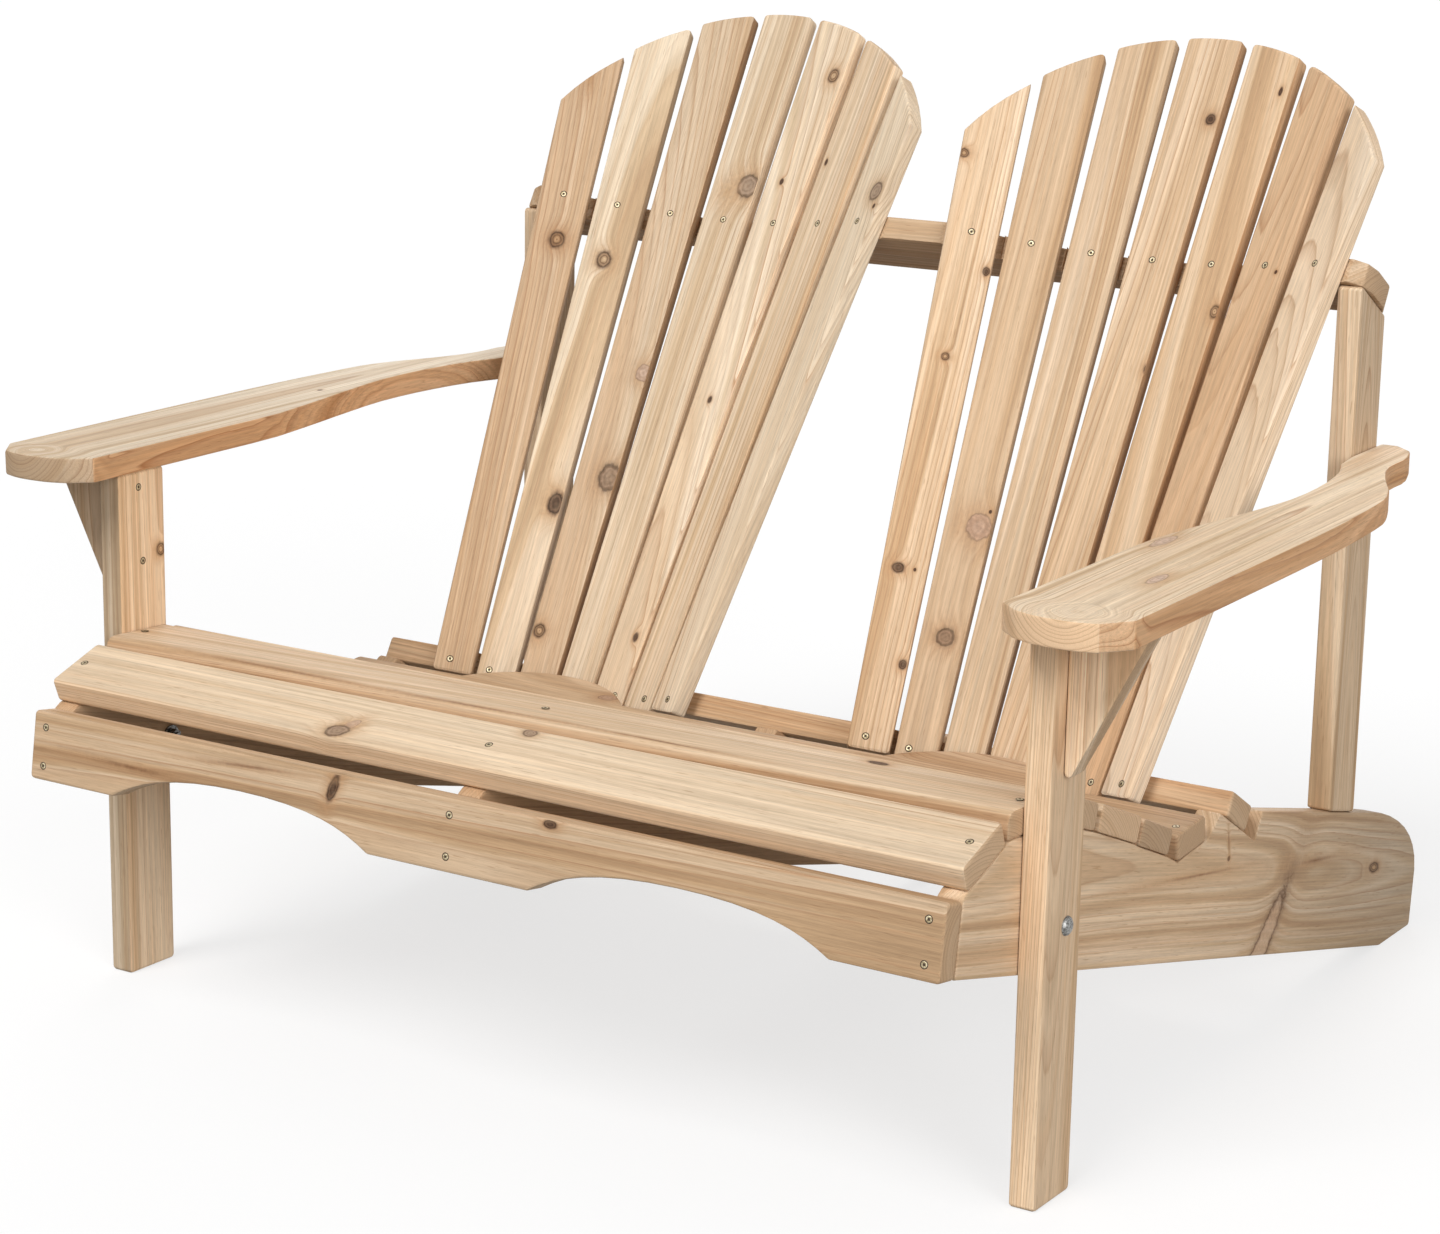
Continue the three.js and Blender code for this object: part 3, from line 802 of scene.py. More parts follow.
    def _dyed(self, bench: ShaderBench, board: Board, cut: Cut, tone: ToneAndPaintedShading, wood: Wire) -> Wire:
        """Turns the wood to the board's own tone, with painted shade and painted light for some boards, and
        shows its end grain.

        Args:
            bench: Where the nodes are made.
            board: The board.
            cut: The place in the log.
            tone: How the board's colour departs from most, with its painted shade and painted light.
            wood: The colour so far.

        Returns:
            The colour that shows.
        """
        edge = bench.facing(board.crosswise, self.EDGE_BAND)
        # the board's tone, and for some boards painted shade and painted light on the whole board and on its
        # side faces
        wood = bench.dyed(wood, tone.face_dye_and_painted_shading())
        wood = bench.dyed(wood, bench.mixed(BLANK, tone.edge_dye_and_painted_shading(), edge))
        if tone.tail_light != FULL:
            tail = bench.band(cut.along, (self.TAIL_START * board.half.x, board.half.x))
            wood = bench.dyed(wood, bench.mixed(BLANK, (tone.tail_light,) * 3, tail))
        end = bench.facing(board.lengthwise, self.END_BAND)
        rough_end = bench.mixed(self.end_grain, self.end_ring, cut.ring * self.END_RING_SHARE)
        rough_end = bench.dyed(rough_end, bench.grey(self.END_LEVEL.of(cut.fibre) * tone.end_light))
        return bench.mixed(wood, rough_end, end * self.END_SHARE)

    def _knot_core(self, bench: ShaderBench, grain: Wire, ripple: Wire, knot: Knot) -> Wire:
        """Measures the distance from a knot's heart.

        Args:
            bench: Where the nodes are made.
            grain: The place in the board's frame.
            ripple: The small waves of the rings, which the knot shares.
            knot: The knot.

        Returns:
            The distance, 1 at the knot's edge and a little uneven.
        """
        settled = {
            "Vector": grain,
            "Location": (knot.along * MM, knot.across * MM, 0.0),
            "Rotation": (0.0, 0.0, math.radians(knot.turn)),
            "Scale": (knot.radius * knot.stretch * MM, knot.radius * MM, FULL),
        }
        round_it = bench.node("ShaderNodeMapping", {"vector_type": "TEXTURE"}, settled)
        flat = bench.length(bench.vector("MULTIPLY", round_it, self.FLAT))
        uneven = bench.noise(grain, self.KNOT_EDGE, knot.along / self.knot_seed_step) - self.MIDDLE
        return flat + ripple * self.KNOT_RIPPLE + uneven * self.KNOT_UNEVEN


@dataclass(frozen=True)
class ZincFinish:
    """Zinc-plated steel with a faint cloudy bloom."""

    name: str
    bright: Colour = tint(160, 160, 158)
    dull: Colour = tint(92, 91, 88)
    metallic: float = 1.0
    roughness: Span = Span(0.34, 0.2)
    bump_strength: float = 0.2
    bump_rise: float = 0.2

    BLOOM = Waves(420.0, 420.0, 420.0, 5.0, 3.0)
    BLOOM_BAND = (0.35, 0.65)
    FINE = Waves(2600.0, 2600.0, 2600.0, 9.0, 1.0)

    def material(self) -> bpy.types.Material:
        """Makes the material.

        Returns:
            The material.
        """
        bench, material = ShaderBench.of_material(self.name)
        place = bench.node("ShaderNodeTexCoord", output="Object")
        bloom = bench.noise(place, self.BLOOM)
        fine = bench.noise(place, self.FINE)
        surface = {
            "Base Color": bench.mixed(self.dull, self.bright, bench.band(bloom, self.BLOOM_BAND)),
            "Metallic": self.metallic,
            "Roughness": self.roughness.of(bloom),
            "Normal": bench.bump(fine, self.bump_strength, self.bump_rise * MM),
        }
        bench.finish(bench.node("ShaderNodeBsdfPrincipled", None, surface))
        return material


@dataclass(frozen=True)
class CrushedWoodAndPaintedShadeFinish:
    """The dark ring of pressed-in wood round a screw head, with painted shade in it, and the painted shade
    of the head's socket.
    """

    name: str
    # both colours are mixed by noise over the rims and sockets alike: pressed-in wood and painted shade
    # together
    rim: Colour = tint(84, 66, 46)
    deep: Colour = tint(44, 33, 24)
    roughness: Span = Span(0.7, 0.2)

    TORN = Waves(900.0, 900.0, 900.0, 3.0)

    def material(self) -> bpy.types.Material:
        """Makes the material.

        Returns:
            The material.
        """
        bench, material = ShaderBench.of_material(self.name)
        torn = bench.noise(bench.node("ShaderNodeTexCoord", output="Object"), self.TORN)
        surface = {
            "Base Color": bench.mixed(self.deep, self.rim, torn),
            "Roughness": self.roughness.of(torn),
        }
        bench.finish(bench.node("ShaderNodeBsdfPrincipled", None, surface))
        return material


BARE_ZINC = ZincFinish("zinc")
COATED_ZINC = ZincFinish(
    "coated_screws", bright=tint(214, 202, 172), dull=tint(150, 134, 102), roughness=Span(0.42, 0.2)
)
CRUSHED_WOOD = CrushedWoodAndPaintedShadeFinish("crushed_wood_and_painted_shade")


@dataclass(frozen=True)
class Spot:
    """Where a screw goes on a board: millimetres from the centre of its front face."""

    along: float
    across: float


@dataclass(frozen=True)
class HeadRing:
    """A ring of a screw head, in millimetres: how far out and how high it lies, and what leads in to it."""

    reach: float
    rise: float
    metal: bool = True
    square: bool = False

    def points(self, count: int) -> list[Vector]:
        """The ring's points, as a level circle or a level square.

        Args:
            count: How many points it has.

        Returns:
            The points, in millimetres from the head's centre.
        """
        made = []
        for turn in (2 * math.pi * k / count for k in range(count)):
            side, up = math.cos(turn), math.sin(turn)
            reach = self.reach / max(abs(side), abs(up)) if self.square else self.reach
            made.append(Vector((reach * side, reach * up, self.rise)))
        return made


@dataclass
class ScrewSet:
    """The wood screws of one sub-assembly, as one mesh: dished heads with square sockets, set in dark rims
    of pressed-in wood with painted shade; the sockets are painted shade.
    """

    name: str
    rings: tuple[HeadRing, ...] = (
        # the first three rings bound the dark rim, pressed-in wood with painted shade; the last ring is the
        # socket's floor, painted shade
        HeadRing(4.1, 0.0, metal=False),
        HeadRing(3.977, 0.08, metal=False),
        HeadRing(3.09, 0.048, metal=False),
        HeadRing(2.97, 0.1375),
        HeadRing(2.7, 0.25),
        HeadRing(1.8, 0.215),
        HeadRing(1.3, 0.2, square=True),
        HeadRing(1.17, 0.04, metal=False, square=True),
    )
    segments: int = 24
    seats: list[tuple[Vector, Vector, Vector]] = field(default_factory=list)

    # the second finish is the dark rim and socket: pressed-in wood with painted shade
    METAL, CRUSHED = 0, 1

    def seat(self, board: Board, spots: list[Spot]) -> None:
        """Adds screws on a board's front face.

        Args:
            board: The board that carries them.
            spots: Their places on its face.
        """
        for spot in spots:
            place = board.place(spot.along * MM, spot.across * MM)
            self.seats.append((place, board.outward, board.lengthwise))

    def seat_at(self, place: Vector, outward: Vector, upward: Vector) -> None:
        """Adds a screw at a point of any face."""
        self.seats.append((place, outward.normalized(), upward.normalized()))

    def build(self, metal: bpy.types.Material, crushed_and_painted_shade: bpy.types.Material) -> bpy.types.Object:
        """Makes the mesh, and lets it ride on the loveseat.

        Args:
            metal: The heads' finish.
            crushed_and_painted_shade: The finish of the rims and of the sockets' walls and floors:
                pressed-in wood round the head, with painted shade there and in the sockets.

        Returns:
            The piece.
        """
        shape = bmesh.new()
        head = [ring.points(self.segments) for ring in self.rings]
        for place, outward, upward in self.seats:
            side = upward.cross(outward)
            turn = Matrix((side, upward - outward * upward.dot(outward), outward)).transposed()
            rows = [[shape.verts.new(place + turn @ (p * MM)) for p in points] for points in head]
            for outer, inner, ring in zip(rows, rows[1:], self.rings[1:]):
                for k in range(self.segments):
                    after = (k + 1) % self.segments
                    made = shape.faces.new((outer[k], outer[after], inner[after], inner[k]))
                    made.material_index = self.METAL if ring.metal else self.CRUSHED
                    made.smooth = True
            # the socket's floor is painted shade, and the underside takes the same dark finish
            shape.faces.new(rows[-1]).material_index = self.CRUSHED
            shape.faces.new(tuple(reversed(rows[0]))).material_index = self.CRUSHED
        mesh = bpy.data.meshes.new(self.name)
        shape.to_mesh(mesh)
        shape.free()
        mesh.materials.append(metal)
        mesh.materials.append(crushed_and_painted_shade)
        piece = bpy.data.objects.new(self.name, mesh)
        bpy.context.scene.collection.objects.link(piece)
        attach(piece, BODY)
        log.info("%s: %d screws", self.name, len(self.seats))
        return piece


@dataclass(frozen=True)
class SoftRims:
    """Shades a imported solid's eased rims smooth, and keeps its faces flat."""

    weld: float = 0.00001
    fold: float = math.radians(42)

    def group(self) -> bpy.types.NodeTree:
        """Makes the node group, which welds the corners and marks the edges that fold sharply.

        Returns:
            The group.
        """
        group = bpy.data.node_groups.new("soft_rims", "GeometryNodeTree")
        group.interface.new_socket("Geometry", in_out="INPUT", socket_type="NodeSocketGeometry")
        group.interface.new_socket("Geometry", in_out="OUTPUT", socket_type="NodeSocketGeometry")
        nodes, links = group.nodes, group.links
        start, end = nodes.new("NodeGroupInput"), nodes.new("NodeGroupOutput")
        merge = nodes.new("GeometryNodeMergeByDistance")
        merge.inputs["Distance"].default_value = self.weld
        bare = nodes.new("GeometryNodeRemoveAttribute")
        bare.inputs["Name"].default_value = "custom_normal"
        faces = nodes.new("GeometryNodeSetShadeSmooth")
        edges = nodes.new("GeometryNodeSetShadeSmooth")
        edges.domain = "EDGE"
        edges.inputs["Shade Smooth"].default_value = False
        angle = nodes.new("GeometryNodeInputMeshEdgeAngle")
        sharp = nodes.new("FunctionNodeCompare")
        sharp.data_type, sharp.operation = "FLOAT", "GREATER_THAN"
        sharp.inputs[1].default_value = self.fold
        links.new(start.outputs[0], merge.inputs["Geometry"])
        links.new(merge.outputs[0], bare.inputs["Geometry"])
        links.new(bare.outputs[0], faces.inputs["Geometry"])
        links.new(faces.outputs[0], edges.inputs["Geometry"])
        links.new(angle.outputs["Unsigned Angle"], sharp.inputs[0])
        links.new(sharp.outputs[0], edges.inputs["Selection"])
        links.new(edges.outputs[0], end.inputs[0])
        return group

    def apply(self, nodes: list[bpy.types.Object]) -> None:
        """Gives each solid the modifiers.

        Args:
            nodes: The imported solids.
        """
        group = self.group()
        for node in nodes:
            soften = node.modifiers.new("soft_rims", "NODES")
            soften.node_group = group
            weigh = node.modifiers.new("even_faces", "WEIGHTED_NORMAL")
            weigh.keep_sharp = True


SIDES = ("left", "right")
UPRIGHT = Vector((0.0, 0.0, 1.0))
SIDEWAYS = Vector((1.0, 0.0, 0.0))
BACKWARD = Vector((0.0, 1.0, 0.0))


@dataclass
class Joinery:
    """What every sub-assembly is dressed with: its boards' finish, their tone with the painted shade and
    light of some, and knots.
    """

    nodes: dict[str, bpy.types.Object]
    cedar: CedarFinish
    tones_and_painted_shading: dict[str, ToneAndPaintedShading]
    knots: dict[str, tuple[Knot, ...]]
    figures: dict[str, Figure]

    def board(self, name: str, hint: Vector | None = None) -> Board:
        """Finds a board and gives it its cedar.

        Args:
            name: The board's node.
            hint: The way that its grain runs, where its outline doesn't say.

        Returns:
            The board.
        """
        board = Board(self.nodes[name], hint)
        tone = self.tones_and_painted_shading.get(name, ToneAndPaintedShading())
        figure = self.figures.get(name) or Figure.drawn(name)
        finish = self.cedar.material(board, figure, tone, self.knots.get(name, ()))
        board.node.data.materials.clear()
        board.node.data.materials.append(finish)
        log.info("%s: %d knots", name, len(self.knots.get(name, ())))
        return board


@dataclass
class SeatDeck:
    """The apron, the seat boards and the three rails that carry them."""

    joinery: Joinery
    rails: tuple[str, ...] = ("left", "centre", "right")
    slat_count: int = 5
    rail_reach: float = 522.5
    apron_reach: float = 519.0
    apron_rows: tuple[float, float] = (-19.5, 20.5)
    rear_margin: float = 22.0
    screws: ScrewSet = field(default_factory=lambda: ScrewSet("seat_screws"))

    def build(self) -> None:
        """Dresses the boards and seats their screws."""
        for side in self.rails:
            self.joinery.board(f"side_rail_{side}")
        apron = self.joinery.board("apron", SIDEWAYS)
        places = (-self.apron_reach, 0.0, self.apron_reach)
        self.screws.seat(apron, [Spot(x, y) for x in places for y in self.apron_rows])
        places = (-self.rail_reach, 0.0, self.rail_reach)
        for number in range(1, self.slat_count + 1):
            slat = self.joinery.board(f"seat_slat_{number}", SIDEWAYS)
            self.screws.seat(slat, [Spot(x, 0.0) for x in places])
        rear = self.joinery.board("rear_seat_board", SIDEWAYS)
        self.screws.seat(rear, [Spot(x, rear.half.y / MM - self.rear_margin) for x in places])


@dataclass
class FanBack:
    """The two fans of slats and the rails behind them."""

    joinery: Joinery
    slat_count: int = 7
    rail_gap: float = 585.0
    lower_rise: float = 15.0
    screws: ScrewSet = field(default_factory=lambda: ScrewSet("back_screws"))

    def build(self) -> None:
        """Dresses the slats and rails and seats a screw where each slat crosses a rail."""
        for name in ("lower_back_rail", "upper_back_rail"):
            self.joinery.board(name, SIDEWAYS)
        for side in SIDES:
            for number in range(1, self.slat_count + 1):
                slat = self.joinery.board(f"back_slat_{side}_{number}")
                low = self.lower_rise - slat.half.x / MM
                spots = [Spot(low, 0.0), Spot(low + self.rail_gap, 0.0)]
                self.screws.seat(slat, spots)


@dataclass
class SideFrames:
    """The legs, rear posts, arms and brackets, with the screws in the legs."""

    joinery: Joinery
    leg_spots: tuple[tuple[float, float], ...] = ((31.0, 532.0), (35.0, 452.0))
    screws: ScrewSet = field(default_factory=lambda: ScrewSet("leg_screws"))

    def build(self) -> None:
        """Dresses the boards and seats the screws that hold the brackets."""
        for side in SIDES:
            leg = self.joinery.board(f"front_leg_{side}", UPRIGHT)
            self.joinery.board(f"rear_post_{side}", UPRIGHT)
            self.joinery.board(f"arm_{side}", BACKWARD)
            self.joinery.board(f"arm_bracket_{side}", UPRIGHT)
            self._seat_leg_screws(leg)

    def _seat_leg_screws(self, leg: Board) -> None:
        """Seats screws in the face of a leg that looks at the seat.

        Args:
            leg: The leg.
        """
        low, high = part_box(leg.node.name)
        inner = high.x if high.x < 0 else low.x
        for behind, level in self.leg_spots:
            place = Vector((inner, low.y + behind * MM, level * MM))
            self.screws.seat_at(place, Vector((-math.copysign(1.0, inner), 0.0, 0.0)), UPRIGHT)


@dataclass
class LegFixings:
    """The carriage bolts, washers and nuts."""

    nodes: dict[str, bpy.types.Object]
    pieces: tuple[str, ...] = ("leg_bolt", "leg_bolt_washer", "leg_bolt_nut")

    def dress(self, finish: bpy.types.Material) -> None:
        """Gives each piece its zinc.

        Args:
            finish: The zinc.
        """
        for piece in self.pieces:
            for side in SIDES:
                node = self.nodes[f"{piece}_{side}"]
                node.data.materials.clear()
                node.data.materials.append(finish)
                log.info("%s: zinc", node.name)


@dataclass
class PhotoCamera:
    """The camera at the photograph's angle: degrees, metres and pixels of a 1440 by 1234 frame."""

    place: Triple = (1.8468, -2.951, 1.2376)
    yaw: float = 32.824
    pitch: float = 13.636
    roll: float = 0.948
    focal_pixels: float = 3343.0
    frame_width: float = 1440.0
    sensor: float = 36.0

    def build(self) -> bpy.types.Object:
        """Makes the camera and gives it to the scene.

        Returns:
            The camera.
        """
        yaw, pitch, roll = (math.radians(v) for v in (self.yaw, self.pitch, self.roll))
        ahead = Vector(
            (-math.sin(yaw) * math.cos(pitch), math.cos(yaw) * math.cos(pitch), -math.sin(pitch))
        )
        level = Vector((math.cos(yaw), math.sin(yaw), 0.0))
        upward = level.cross(ahead)
        right = level * math.cos(roll) + upward * math.sin(roll)
        top = upward * math.cos(roll) - level * math.sin(roll)
        data = bpy.data.cameras.new("photo_camera")
        data.sensor_width = self.sensor
        data.lens = self.focal_pixels * self.sensor / self.frame_width
        camera = bpy.data.objects.new("photo_camera", data)
        turn = Matrix((right, top, -ahead)).transposed().to_4x4()
        camera.matrix_world = Matrix.Translation(self.place) @ turn
        bpy.context.scene.collection.objects.link(camera)
        bpy.context.scene.camera = camera
        return camera


@dataclass(frozen=True)
class Lamp:
    """A wide, soft lamp that shines from a direction. Its spread is in degrees."""

    name: str
    strength: float
    source: Triple
    spread: float = 32.0

    def build(self) -> None:
        """Makes the lamp."""
        data = bpy.data.lights.new(self.name, "SUN")
        data.energy = self.strength
        data.angle = math.radians(self.spread)
        lamp = bpy.data.objects.new(self.name, data)
        lamp.rotation_mode = "QUATERNION"
        lamp.rotation_quaternion = Vector(self.source).to_track_quat("Z", "Y")
        bpy.context.scene.collection.objects.link(lamp)


@dataclass
class Studio:
    """A plain pale floor, a white surround and soft light."""

    floor_half: float = 40.0
    sky: float = 0.36
    lamps: tuple[Lamp, ...] = (
        Lamp("key_light", 2.0, (-0.1, -0.8, 1.0)),
        Lamp("fill_light", 1.5, (0.9, -0.55, 0.35)),
        Lamp("rear_light", 0.8, (-0.5, 0.9, 0.3)),
    )
    paper: Colour = (0.97, 0.97, 0.97)
    bounce: Colour = (0.3, 0.3, 0.3)
    shadow_share: float = 0.3

    WHITE = (1.0, 1.0, 1.0, OPAQUE)

    def build(self) -> None:
        """Makes the floor, the surround and the lamps."""
        self._floor()
        self._surround()
        for lamp in self.lamps:
            lamp.build()
        bpy.context.scene.view_settings.view_transform = "Standard"

    @staticmethod
    def _seen(bench: ShaderBench) -> Wire:
        """Tells what the camera sees, straight on or in a gloss or a glass.

        Args:
            bench: Where the nodes are made.

        Returns:
            1 for such rays, and 0 for those that light the object.
        """
        names = ("Is Camera Ray", "Is Glossy Ray", "Is Transmission Ray")
        camera, gloss, glass = (bench.node("ShaderNodeLightPath", output=name) for name in names)
        return bench.maths("MAXIMUM", camera, bench.maths("MAXIMUM", gloss, glass))

    def _floor(self) -> None:
        """A large sheet whose brightness is the paper's, and which keeps the shadow."""
        bench, material = ShaderBench.of_material("pale_floor")
        paper = bench.node("ShaderNodeBsdfDiffuse", None, {"Color": (*self.paper, OPAQUE)})
        bounce = bench.node("ShaderNodeBsdfDiffuse", None, {"Color": (*self.bounce, OPAQUE)})
        white = bench.node("ShaderNodeEmission", None, {"Color": self.WHITE, "Strength": FULL})
        sheet = bench.node("ShaderNodeMixShader", None, {0: 1 - self.shadow_share, 1: paper, 2: white})
        bench.finish(bench.node("ShaderNodeMixShader", None, {0: self._seen(bench), 1: bounce, 2: sheet}))
        half = self.floor_half
        mesh = bpy.data.meshes.new("floor")
        corners = [(-half, -half, 0.0), (half, -half, 0.0), (half, half, 0.0), (-half, half, 0.0)]
        mesh.from_pydata(corners, [], [(0, 1, 2, 3)])
        mesh.materials.append(material)
        floor = bpy.data.objects.new("floor", mesh)
        bpy.context.scene.collection.objects.link(floor)

    def _surround(self) -> None:
        """A world that lights softly and shows white."""
        world = bpy.data.worlds.new("surround")
        bpy.context.scene.world = world
        world.use_nodes = True
        bench = ShaderBench(world.node_tree)
        glow = bench.node("ShaderNodeBackground", None, {"Color": self.WHITE, "Strength": self.sky})
        white = bench.node("ShaderNodeBackground", None, {"Color": self.WHITE, "Strength": FULL})
        pick = bench.node("ShaderNodeMixShader", None, {0: self._seen(bench), 1: glow, 2: white})
        bench.finish(pick, "ShaderNodeOutputWorld")


# Boards whose colour departs from most. Some of these entries paint shade and some paint light into the
# colour, as the notes below say.
TONES_AND_PAINTED_SHADING: dict[str, ToneAndPaintedShading] = {
    # partly painted shade: a little darker and warmer for the shade on the apron, and partly darker wood
    "apron": ToneAndPaintedShading(0.88, 1.07),
    # painted shade: the left bracket is darker for the shade under the left arm
    "arm_bracket_left": ToneAndPaintedShading(0.8, 1.0),
    # painted light: the right bracket is much lighter, to lift the shade on its face under the arm
    "arm_bracket_right": ToneAndPaintedShading(1.55, 0.95, 0.72, 0.95),
    "arm_left": ToneAndPaintedShading(1.03, 0.82, 0.7, 1.95, 0.8),
    "arm_right": ToneAndPaintedShading(1.1, 0.9, 0.67, 1.8, 1.6),
    "back_slat_left_1": ToneAndPaintedShading(0.72, 1.15),
    "back_slat_left_2": ToneAndPaintedShading(1.05, 0.85),
    # painted shade: darker, warmer side faces, where this slat's edges sit in shade
    "back_slat_left_3": ToneAndPaintedShading(0.86, 0.97, 0.6, 1.4),
    # painted light: left slats 4 to 6 have lighter side faces
    "back_slat_left_4": ToneAndPaintedShading(1.05, 0.88, 1.2),
    "back_slat_left_5": ToneAndPaintedShading(1.1, 0.92, 1.3),
    "back_slat_left_6": ToneAndPaintedShading(1.03, 0.92, 1.3),
    "back_slat_left_7": ToneAndPaintedShading(1.15, 0.85),
    "back_slat_right_1": ToneAndPaintedShading(0.96, 1.06),
    "back_slat_right_2": ToneAndPaintedShading(0.8, 1.1),
    "back_slat_right_3": ToneAndPaintedShading(0.87, 1.0),
    # painted shade: right slats 4 and 5 have darker, warmer side faces
    "back_slat_right_4": ToneAndPaintedShading(0.85, 1.1, 0.7, 1.35),
    "back_slat_right_5": ToneAndPaintedShading(1.03, 1.0, 0.7, 1.45),
    "back_slat_right_6": ToneAndPaintedShading(0.82, 1.2),
    # painted light: lighter, to make up for the way this slat's face turns from the light
    "back_slat_right_7": ToneAndPaintedShading(1.4, 0.8),
    # painted light: the whole leg is lighter for its lit inner face; its grey front edge is the wood's own
    # colour
    "front_leg_left": ToneAndPaintedShading(1.3, 1.0, 0.64, 0.92),
    "front_leg_right": ToneAndPaintedShading(0.98, 1.08, 1.3, 0.95),
    "lower_back_rail": ToneAndPaintedShading(1.0, 1.0, 0.8, 1.25),
    "rear_post_right": ToneAndPaintedShading(0.9, 1.03, 1.28, 0.92),
    # partly painted shade: darker and warmer for the shade at the back of the seat, and partly darker wood
    "rear_seat_board": ToneAndPaintedShading(0.66, 1.2),
    "seat_slat_1": ToneAndPaintedShading(1.0, 0.94, 1.1, 1.05, 1.1),
    # painted shade: darker, warmer long edges, where they sit in shade beside the next slats
    "seat_slat_2": ToneAndPaintedShading(1.0, 1.0, 0.68, 1.3),
    "seat_slat_4": ToneAndPaintedShading(end_light=1.3),
    "seat_slat_5": ToneAndPaintedShading(end_light=0.85),
    # painted shade: the centre and left rails are darker and warmer for the shade under the seat
    "side_rail_centre": ToneAndPaintedShading(0.64, 1.4),
    "side_rail_left": ToneAndPaintedShading(0.68, 1.3),
    "side_rail_right": ToneAndPaintedShading(1.26, 1.0, tail_light=0.56),
    # partly painted shade: darker and warmer overall, for the shade on its front face behind the slats
    "upper_back_rail": ToneAndPaintedShading(0.66, 1.15, 1.1),
}

# Boards whose cut shows plainly. The others are drawn.
FIGURES: dict[str, Figure] = {
    "arm_left": Figure(-12, 16, 0.01, 0.0, 4.2, 0.35, 0.1, 31.0, 46.0, 58.0),
    "arm_right": Figure(4, 14, -0.01, 0.0, 4.4, 0.4, 0.05, 57.0, 52.0, 66.0),
    "seat_slat_1": Figure(52, 120, 0.004, 0.0, 3.4, 0.25, 0.1, 12.0, contrast=0.5),
    "side_rail_right": Figure(-18, 58, 0.01, 0.02, 4.6, 0.2, 0.4, 66.0, contrast=2.1),
    "apron": Figure(24, 46, -0.02, 0.0, 4.2, 0.25, 0.2, 41.0, contrast=1.3),
    "arm_bracket_right": Figure(20, 60, 0.01, 0.0, 3.6, 0.3, 0.25, 44.0, contrast=1.9),
    "rear_post_right": Figure(-3, 14, 0.004, 0.035, 3.4, 0.3, 0.15, 23.0, contrast=1.1),
}

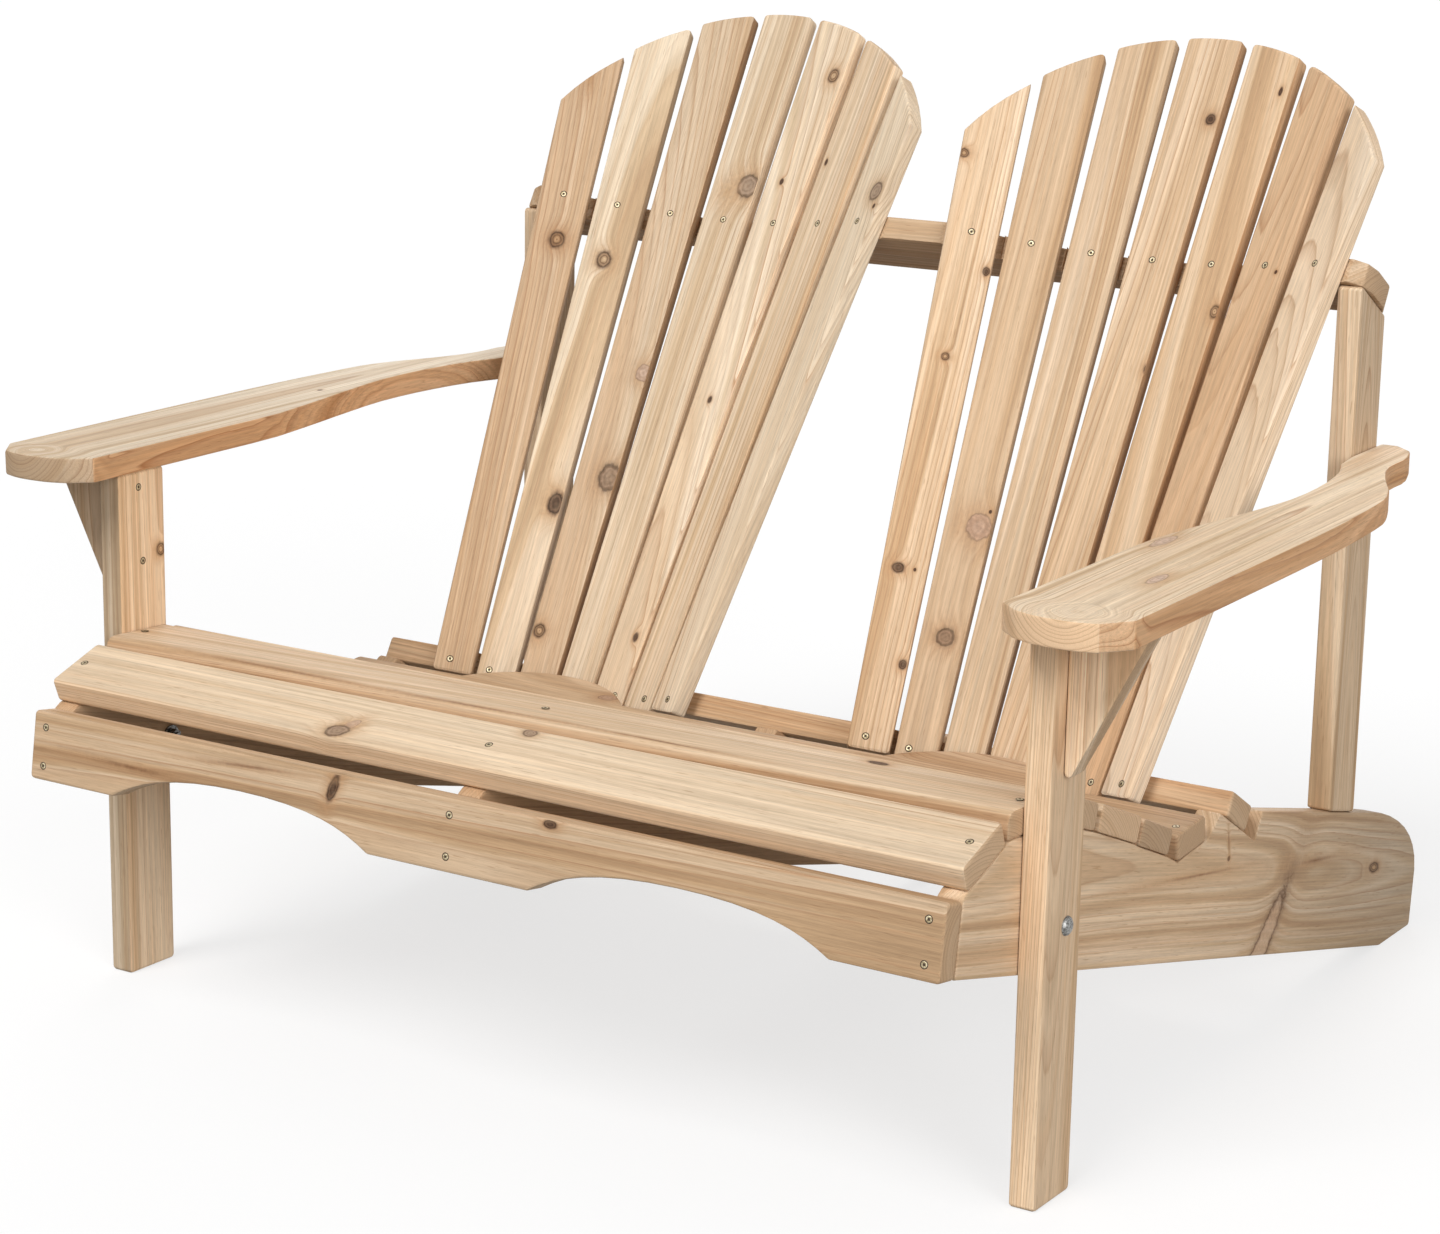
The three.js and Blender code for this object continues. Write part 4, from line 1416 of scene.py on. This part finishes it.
# The knots on each board's front face.
KNOTS: dict[str, tuple[Knot, ...]] = {
    "apron": (
        Knot(-141, -21, 5.4, KnotKind.DARK, 2.6, 110),
        Knot(116, -31, 4, KnotKind.DARK, 1.8),
        Knot(-250, -24, 2.5, KnotKind.BARK, 26, -3),
        Knot(-400, 2, 3, KnotKind.BARK, 20, 2),
    ),
    "arm_left": (Knot(23, 11, 3, KnotKind.PIN), Knot(118, 36, 6, KnotKind.DARK, 1.6)),
    "arm_right": (Knot(-116, -47, 7, KnotKind.PALE, 3.6), Knot(-254, 13, 6, KnotKind.PALE, 3.4)),
    "back_slat_left_1": (Knot(148, 5, 9, KnotKind.RINGED, 1.1), Knot(356, -2, 4, KnotKind.STAIN, 4.0)),
    "back_slat_left_2": (Knot(111, 2, 8.5, KnotKind.RINGED, 1.2), Knot(-194, 24, 9, KnotKind.DARK, 1.5)),
    "back_slat_left_3": (
        Knot(-32, 26, 9, KnotKind.PALE, 1.2),
        Knot(-164, 23, 13, KnotKind.SOUND, 1.3),
        Knot(-358, -6, 7, KnotKind.RINGED, 1.1),
    ),
    "back_slat_left_4": (Knot(211, 19, 13, KnotKind.SOUND, 1.1), Knot(200, -8, 8, KnotKind.STAIN, 1.7)),
    "back_slat_left_5": (
        Knot(221, -8, 3.2, KnotKind.PIN, 1.4),
        Knot(358, 17, 7, KnotKind.RINGED, 1.2),
        Knot(-55, -6, 3.4, KnotKind.PIN, 1.5),
        Knot(-346, 2, 4, KnotKind.PIN, 1.6),
    ),
    "back_slat_left_6": (Knot(260, -23, 2.4, KnotKind.PIN, 2.0), Knot(-177, 29, 6, KnotKind.DARK, 2.4)),
    "back_slat_left_7": (Knot(243, 15, 10, KnotKind.SOUND, 1.1), Knot(224, 22, 2.6, KnotKind.PIN)),
    "back_slat_right_1": (
        Knot(297, -26, 5.5, KnotKind.RINGED, 1.0),
        Knot(163, 25, 4, KnotKind.DARK, 1.3),
        Knot(57, 0, 4.5, KnotKind.RINGED, 1.0),
        Knot(-189, -3, 6.5, KnotKind.DARK, 0.9),
        Knot(-188, 15, 1.8, KnotKind.PIN),
        Knot(-294, 23, 4.5, KnotKind.DARK, 1.2),
    ),
    "back_slat_right_2": (
        Knot(-149, 18, 14, KnotKind.PALE, 1.1),
        Knot(-130, 26, 2, KnotKind.PIN),
        Knot(-276, 10, 9.5, KnotKind.SOUND, 1.1),
    ),
    "back_slat_right_4": (Knot(336, 21, 5.5, KnotKind.DARK, 1.2), Knot(41, 31, 5, KnotKind.DARK, 1.4)),
    "back_slat_right_5": (Knot(114, 22, 5, KnotKind.RINGED, 1.5), Knot(374, 21, 2.4, KnotKind.PIN, 2.4)),
    "back_slat_right_6": (Knot(174, 18, 2, KnotKind.PIN),),
    "front_leg_left": (Knot(185, 28, 6, KnotKind.RINGED, 1.1),),
    "rear_seat_board": (Knot(-194, -16, 8, KnotKind.PALE, 1.4), Knot(173, -22, 8, KnotKind.PALE, 1.6)),
    "seat_slat_1": (
        Knot(-159, 12, 6, KnotKind.PALE, 1.8, -60),
        Knot(-167, 25, 9, KnotKind.SOUND, 1.4, -20),
        Knot(29, -29, 5.5, KnotKind.SOUND, 1.4),
    ),
    "seat_slat_2": (
        Knot(357, -32, 5, KnotKind.DARK, 2.0),
        Knot(-300, 38, 3, KnotKind.BARK, 55),
        Knot(-60, 36, 2.4, KnotKind.BARK, 48, -1),
        Knot(160, 34, 2, KnotKind.BARK, 40),
    ),
    "side_rail_right": (
        Knot(419, -14, 5.5, KnotKind.RINGED, 2.4),
        Knot(245, -24, 3.4, KnotKind.BARK, 18, -4),
        Knot(116, 84, 18, KnotKind.SPIKE, 6, 124),
        Knot(6, -28, 3.2, KnotKind.PIN, 1.2),
        Knot(-1, -46, 2.2, KnotKind.BARK, 8, 66),
        Knot(-60, -12, 2.2, KnotKind.BARK, 44, -4),
    ),
}


def main() -> None:
    """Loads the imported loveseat, dresses it and sets the stage."""
    logging.basicConfig(level=logging.INFO, format="%(message)s")
    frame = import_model()
    nodes = frame["nodes"]
    joinery = Joinery(nodes, CedarFinish(), TONES_AND_PAINTED_SHADING, KNOTS, FIGURES)
    deck, back, sides = SeatDeck(joinery), FanBack(joinery), SideFrames(joinery)
    for part in (deck, back, sides):
        part.build()
    zinc = BARE_ZINC.material()
    crushed_and_painted_shade = CRUSHED_WOOD.material()
    coated = COATED_ZINC.material()
    for part in (deck, back, sides):
        part.screws.build(coated, crushed_and_painted_shade)
    LegFixings(nodes).dress(zinc)
    SoftRims().apply(list(nodes.values()))
    Studio().build()
    PhotoCamera().build()


if __name__ == "__main__":
    main()
